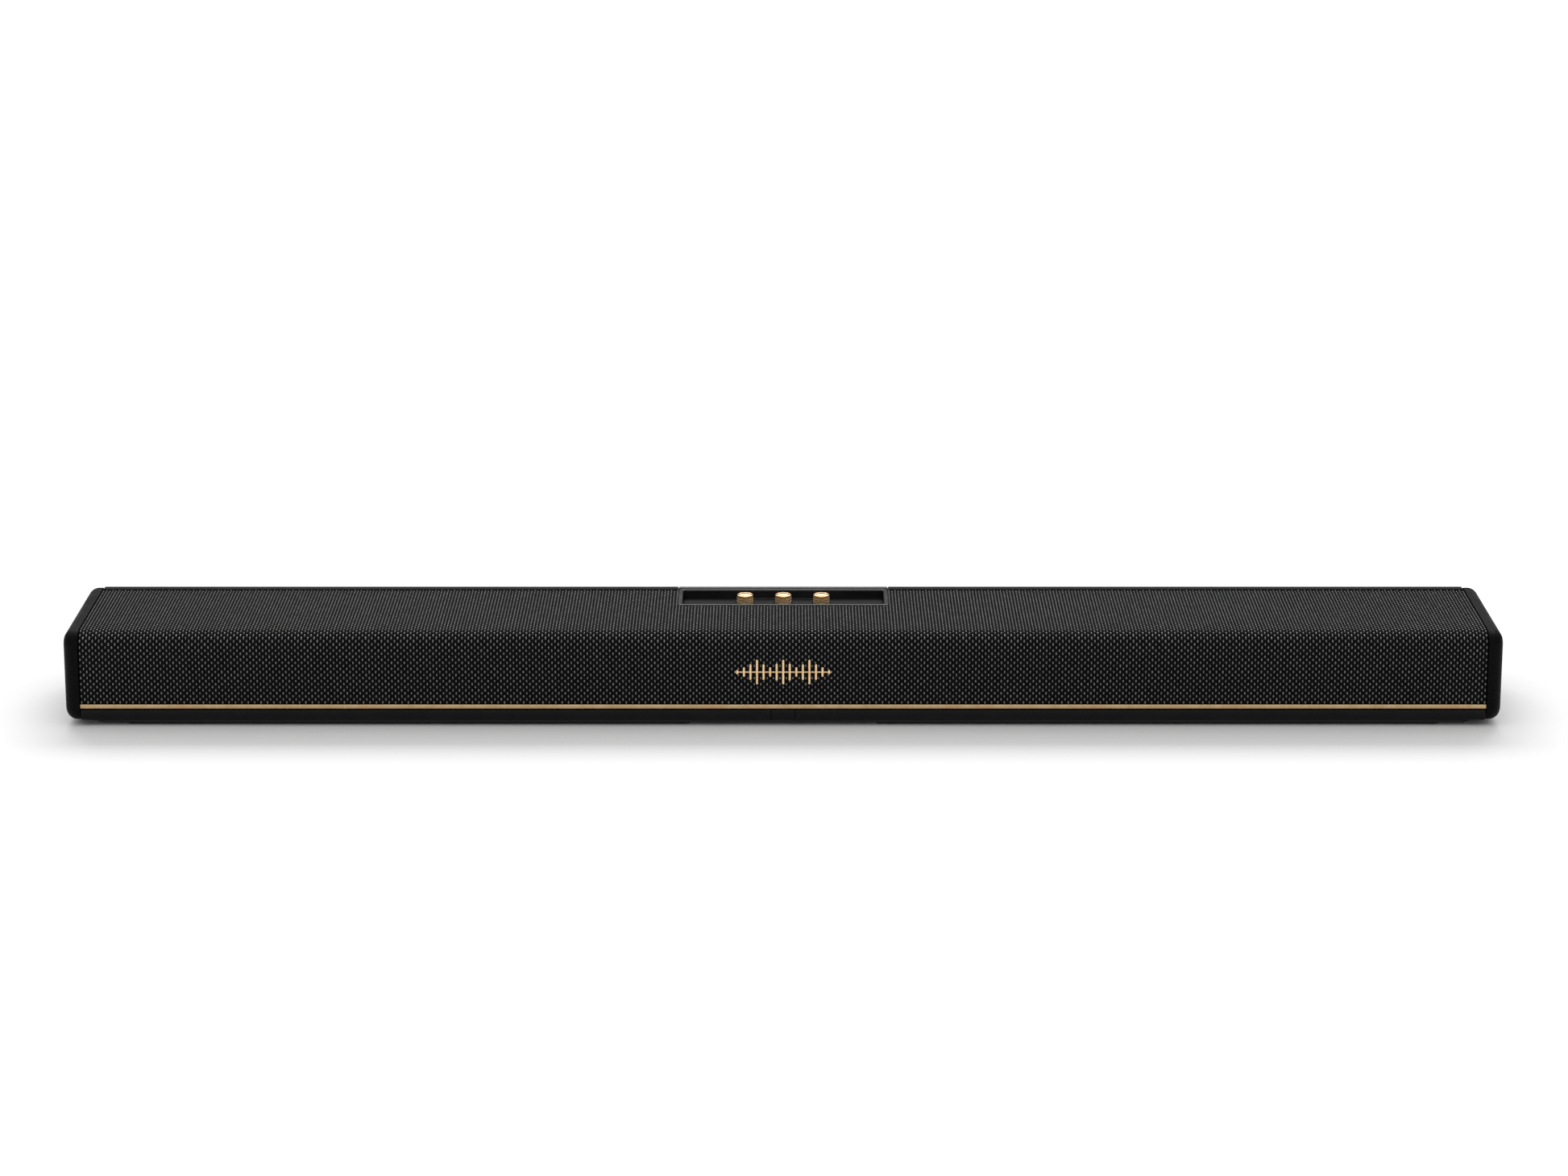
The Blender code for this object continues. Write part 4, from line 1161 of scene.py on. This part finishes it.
def liner(name, outline, wall, deep, finish_used=STEEL):
    """A thin folded shell that lines a mouth."""
    outer = [(x, z) for x, z in shrunk(outline, 0.05)]
    inner = shrunk(outer, wall)
    rings = [(outer, SOCKET_FACE - deep), (outer, SOCKET_FACE + 0.25),
             (shrunk(outer, wall * 0.5), SOCKET_FACE + 0.4),
             (inner, SOCKET_FACE + 0.25), (inner, SOCKET_FACE - deep)]
    made(name, skin([[(x, y, z) for x, z in ring] for ring, y in rings], joined=True), finish_used)


def mains_inlet():
    mouth = [(-84.0 + u, SOCKET_Z + v) for u, v in racetrack(17.0, 9.0, 12)]
    housing("mains_inlet", [mouth], 11.0)
    pins = []
    for x in (-88.3, -79.7):
        profile = [(1.15, 43.0), (1.15, 51.4), (0.9, 52.0), (0.4, 52.3)]
        pins.append(skin([[(x + u, y, SOCKET_Z + v) for u, v in circle(r, 20)] for r, y in profile]))
    made("mains_blades", merged(*pins), STEEL)


def network_socket():
    mouth = [(-52.0, 25.0), (-40.0, 25.0), (-40.0, 33.0), (-43.0, 33.0), (-43.0, 34.8), (-49.0, 34.8),
             (-49.0, 33.0),
             (-52.0, 33.0)]
    housing("network_socket", [mouth], 11.0)
    pins = [block((-46.0 - 4.46 + i * 1.27 - 0.22, 43.2, 25.1), (-46.0 - 4.46 + i * 1.27 + 0.22, 52.6, 25.9))
            for i in range(8)]
    made("network_contacts", merged(*pins), CONTACT)


def video_socket(name):
    x = BODIES[name][0]
    half, tall, slant = 7.3, 2.6, 1.6
    mouth = [(x - half + slant, SOCKET_Z - tall), (x + half - slant, SOCKET_Z - tall),
             (x + half, SOCKET_Z - tall + 1.9), (x + half, SOCKET_Z + tall), (x - half, SOCKET_Z + tall),
             (x - half, SOCKET_Z - tall + 1.9)]
    housing(name, [mouth], 10.0)
    liner(name + "_shell", mouth, 0.4, 9.8)
    made(name + "_tongue", block((x - 5.6, 44.5, SOCKET_Z - 0.6), (x + 5.6, 52.6, SOCKET_Z + 0.6), 0.25),
         SOCKET)
    pins = [block((x - 4.75 + i * 0.5 - 0.13, 45.0, SOCKET_Z - 0.72), (x - 4.75 + i * 0.5 + 0.13, 52.0,
                                                                        SOCKET_Z + 0.72)) for i in range(20)]
    made(name + "_contacts", merged(*pins), CONTACT)


def line_sockets():
    x = housing("line_sockets", [circle(1.7, 24, (82.0 + side * 15.0, SOCKET_Z)) for side in (-1, 0, 1)], 4.0)
    for side, tone in ((-1, RING_WHITE), (0, RING_RED), (1, RING_DARK)):
        centre = (x + side * 15.0, SOCKET_Z)
        barrel = [(4.15, 53.5), (4.15, 62.4), (3.9, 62.95), (3.55, 62.95), (3.4, 62.7), (3.4, 53.5)]
        made(f"line_barrel_{side + 1}", skin([[(centre[0] + u, y, centre[1] + v) for u, v in circle(r, 40)]
                                             for r, y in barrel], joined=True), STEEL)
        ring = [(3.35, 53.6), (3.35, 62.3), (3.1, 62.5), (2.0, 62.5), (1.7, 62.2), (1.7, 53.6)]
        made(f"line_insulator_{side + 1}", skin([[(centre[0] + u, y, centre[1] + v) for u, v in circle(r, 40)]
                                                for r, y in ring], joined=True), tone)


RING_WHITE = moulded("ring_white", (0.5, 0.5, 0.48), 0.4, 0.5, 0.4)
RING_RED = moulded("ring_red", (0.35, 0.02, 0.015), 0.4, 0.5, 0.4)
RING_DARK = moulded("ring_dark", (0.02, 0.02, 0.02), 0.4, 0.5, 0.4)
socket_tub()
mains_inlet()
network_socket()
video_socket("video_socket_in")
video_socket("video_socket_out")
line_sockets()
print("sockets made")

# %% [markdown]
# ## Plinth, feet and fastenings
#
# Under the bar lies a flat base plate, held by a row of small screws, with four long rubber feet. The
# screws are one design used many times, so Geometry Nodes places a single screw head on each point and
# gives each a random turn, as no two screws stop at the same angle.

# %% Base plate and feet


def plinth():
    low, high = corners("base_plate")
    made("plinth_plate", rounded_prism(rounded_rectangle(low.xy, high.xy, 8.0, 10), low.z, high.z, "Z",
                                       0.6, 4),
         MOULDING, stands_for=["base_plate"])
    for line in ("front", "rear"):
        for side in ("left", "right"):
            low, high = corners(f"foot_{line}_{side}")
            x, y = (low.x + high.x) / 2, (low.y + high.y) / 2
            outline = [(x + u, y + v) for u, v in racetrack(high.x - low.x, high.y - low.y, 16)]
            made(f"rubber_foot_{line}_{side}", rounded_prism(outline, low.z, high.z, "Z", 0.4, 4), RUBBER,
                 stands_for=[f"foot_{line}_{side}"])


plinth()

# %% Screw heads


def screw_head(radius=2.6, tall=0.9):
    """A pan head with a cross recess, resting on the XY plane."""
    rings = [(radius, 0.0), (radius, tall * 0.45), (radius * 0.88, tall * 0.8), (radius * 0.6, tall)]
    head = object_of("screw_head", skin([[(*p, z) for p in circle(r, 24)] for r, z in rings]), BLACK_STEEL)
    arm = radius * 0.5
    cross = [plain_prism(rounded_rectangle((-a, -b), (a, b), 0.1, 2), tall * 0.3, tall + 1, "Z")
             for a, b in ((arm, 0.28), (0.28, arm))]
    return carved(head, *cross, crease=30)


def screw_tree():
    tree, given, results = geometry_tree("Screws", {"Seed": 1, "Pitch": 0.0}, ["Metal"])
    tree.interface.new_socket("Head", in_out="INPUT", socket_type="NodeSocketObject")
    head = node(tree, "GeometryNodeObjectInfo", Object=given["Head"]).outputs["Geometry"]
    points = node(tree, "GeometryNodeMeshToPoints", Mesh=given["Geometry"]).outputs[0]
    spin = node(tree, "FunctionNodeRandomValue", {"data_type": "FLOAT"}, Seed=given["Seed"])
    fed(tree, spin.inputs[2], 0.0)
    fed(tree, spin.inputs[3], 2 * math.pi)
    spun = node(tree, "FunctionNodeEulerToRotation", Euler=triple(tree, 0.0, 0.0, spin.outputs[1])).outputs[0]
    facing = node(tree, "FunctionNodeEulerToRotation",
                  Euler=triple(tree, given["Pitch"], 0.0, 0.0)).outputs[0]
    turn = node(tree, "FunctionNodeRotateRotation", {"rotation_space": "LOCAL"}, Rotation=facing,
                Rotate_By=spun).outputs[0]
    laid = node(tree, "GeometryNodeInstanceOnPoints", Points=points, Instance=head, Rotation=turn).outputs[0]
    whole = node(tree, "GeometryNodeRealizeInstances", Geometry=laid).outputs[0]
    fed(tree, results["Geometry"], node(tree, "GeometryNodeSetMaterial", Geometry=whole,
                                        Material=given["Metal"]).outputs[0])
    return tree


def screws(name, places, pitch, seed):
    mesh = bpy.data.meshes.new(name)
    mesh.from_pydata([Vector(p) * MM for p in places], [], [])
    piece = bpy.data.objects.new(name, mesh)
    bpy.context.scene.collection.objects.link(piece)
    given_inputs(piece, screw_design, Seed=seed, Pitch=pitch, Metal=BLACK_STEEL, Head=head)
    piece.data.shade_smooth()
    piece.data.set_sharp_from_angle(angle=math.radians(30))
    settle(piece, "root")


head = screw_head()
screw_design = screw_tree()
back, under = corners("rear_cabinet")[1].y, corners("base_plate")[0].z
back_screws = [(x, back - 0.25, z) for x in (-500, -330, -160, 160, 330, 500) for z in (12.0, 60.0)]
screws("back_screws", [*back_screws, (0.0, back - 0.25, 7.8)], -math.pi / 2, 3)
screws("plinth_screws", [(x, y, under + 0.2) for x in (-515, -345, -175, 0, 175, 345,
                                                       515) for y in (-40.0, 38.0)],
       math.pi, 4)
bpy.data.objects.remove(head)
print("screws made")

# %% [markdown]
# ## Parts under the cloth
#
# The cloth hides the drivers and the boards, so their solids from the frame are shown as they are, each in
# a finish of its own: black steel baskets, coated paper cones and green boards.

# %% Finishes for the hidden solids


def paper():
    material = finish("coated_paper", (0.015, 0.015, 0.016), 0.75, specular=0.2)
    fibres = patterned(material, "Mould texture", Grain=0.0008)["Height"]
    tinted(material, fibres, (0.012, 0.012, 0.013), (0.022, 0.022, 0.023))
    raised(material, fibres, 0.03)
    return material


BOARD = moulded("board_green", (0.01, 0.06, 0.03), 0.35, 0.45, 0.4)
HIDDEN = {"cone": paper(), "basket": BLACK_STEEL, "board": BOARD, "encoder": STEEL}
for name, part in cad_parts.items():
    if part.hide_render:
        continue
    used = next((look for word, look in HIDDEN.items() if word in name), MOULDING)
    part.data.materials.clear()
    part.data.materials.append(used)
    print(" ", name, "->", used.name)

# %% [markdown]
# ## Floor, light and camera
#
# A plain pale floor under a sky that is bright overhead and dim near the horizon, so the flat top stays
# dark. A wide box high behind the bar puts the light on the bend of the cloth and on the knobs, and lets a
# soft shadow fall in front. A weak low box in front lifts the front of the cloth. The camera looks down on
# the bar from the front.

# %% Stage


def floor():
    shape = bmesh.new()
    corners_at = [(-9000, -9000), (9000, -9000), (9000, 9000), (-9000, 9000)]
    shape.faces.new([shape.verts.new((x, y, 0.0)) for x, y in corners_at])
    material = finish("pale_floor", (0.88, 0.88, 0.88), 0.9, specular=0.1)
    object_of("floor", shape, material)


def soft_box(name, place, aim, size, power, tint=(1.0, 1.0, 1.0)):
    data = bpy.data.lights.new(name, "AREA")
    data.shape, data.size, data.size_y, data.energy, data.color = "RECTANGLE", size[0], size[1], power, tint
    lamp = bpy.data.objects.new(name, data)
    bpy.context.scene.collection.objects.link(lamp)
    lamp.location = place
    lamp.rotation_euler = (Vector(aim) - Vector(place)).to_track_quat("-Z", "Y").to_euler()


def surround(horizon, overhead):
    """A sky whose strength rises with height, and that shows as plain white."""
    world = bpy.data.worlds.new("surround")
    bpy.context.scene.world = world
    world.use_nodes = True
    tree = world.node_tree
    seen = tree.nodes.new("ShaderNodeLightPath").outputs["Is Camera Ray"]
    towards = node(tree, "ShaderNodeSeparateXYZ",
                   Vector=tree.nodes.new("ShaderNodeTexCoord").outputs["Object"])
    strength = ranged(tree, towards.outputs[2], 0.3, 0.62, horizon, overhead)
    shown = node(tree, "ShaderNodeMapRange", Value=seen, To_Min=strength, To_Max=1.0)
    sky = tree.nodes["Background"].inputs
    sky["Color"].default_value = (1.0, 1.0, 1.0, 1.0)
    fed(tree, sky["Strength"], shown.outputs[0])


floor()
surround(0.18, 0.95)
soft_box("back_box", (0.0, 6.0, 6.0), (0.0, 0.0, 0.0), (8.0, 3.5), 480.0)
soft_box("front_box", (0.0, -4.6, 1.1), (0.0, 0.0, 0.05), (5.0, 1.2), 30.0)

# %% Camera
view = bpy.data.cameras.new("camera")
view.lens, view.sensor_width, view.clip_end = 99.52, 36.0, 50.0
camera = bpy.data.objects.new("camera", view)
camera.location, camera.rotation_euler = (0.0006, -3.2545, 0.9507), (math.radians(75.206), 0.0, 0.0)
bpy.context.scene.collection.objects.link(camera)
bpy.context.scene.camera = camera
bpy.context.scene.view_settings.view_transform = "Standard"
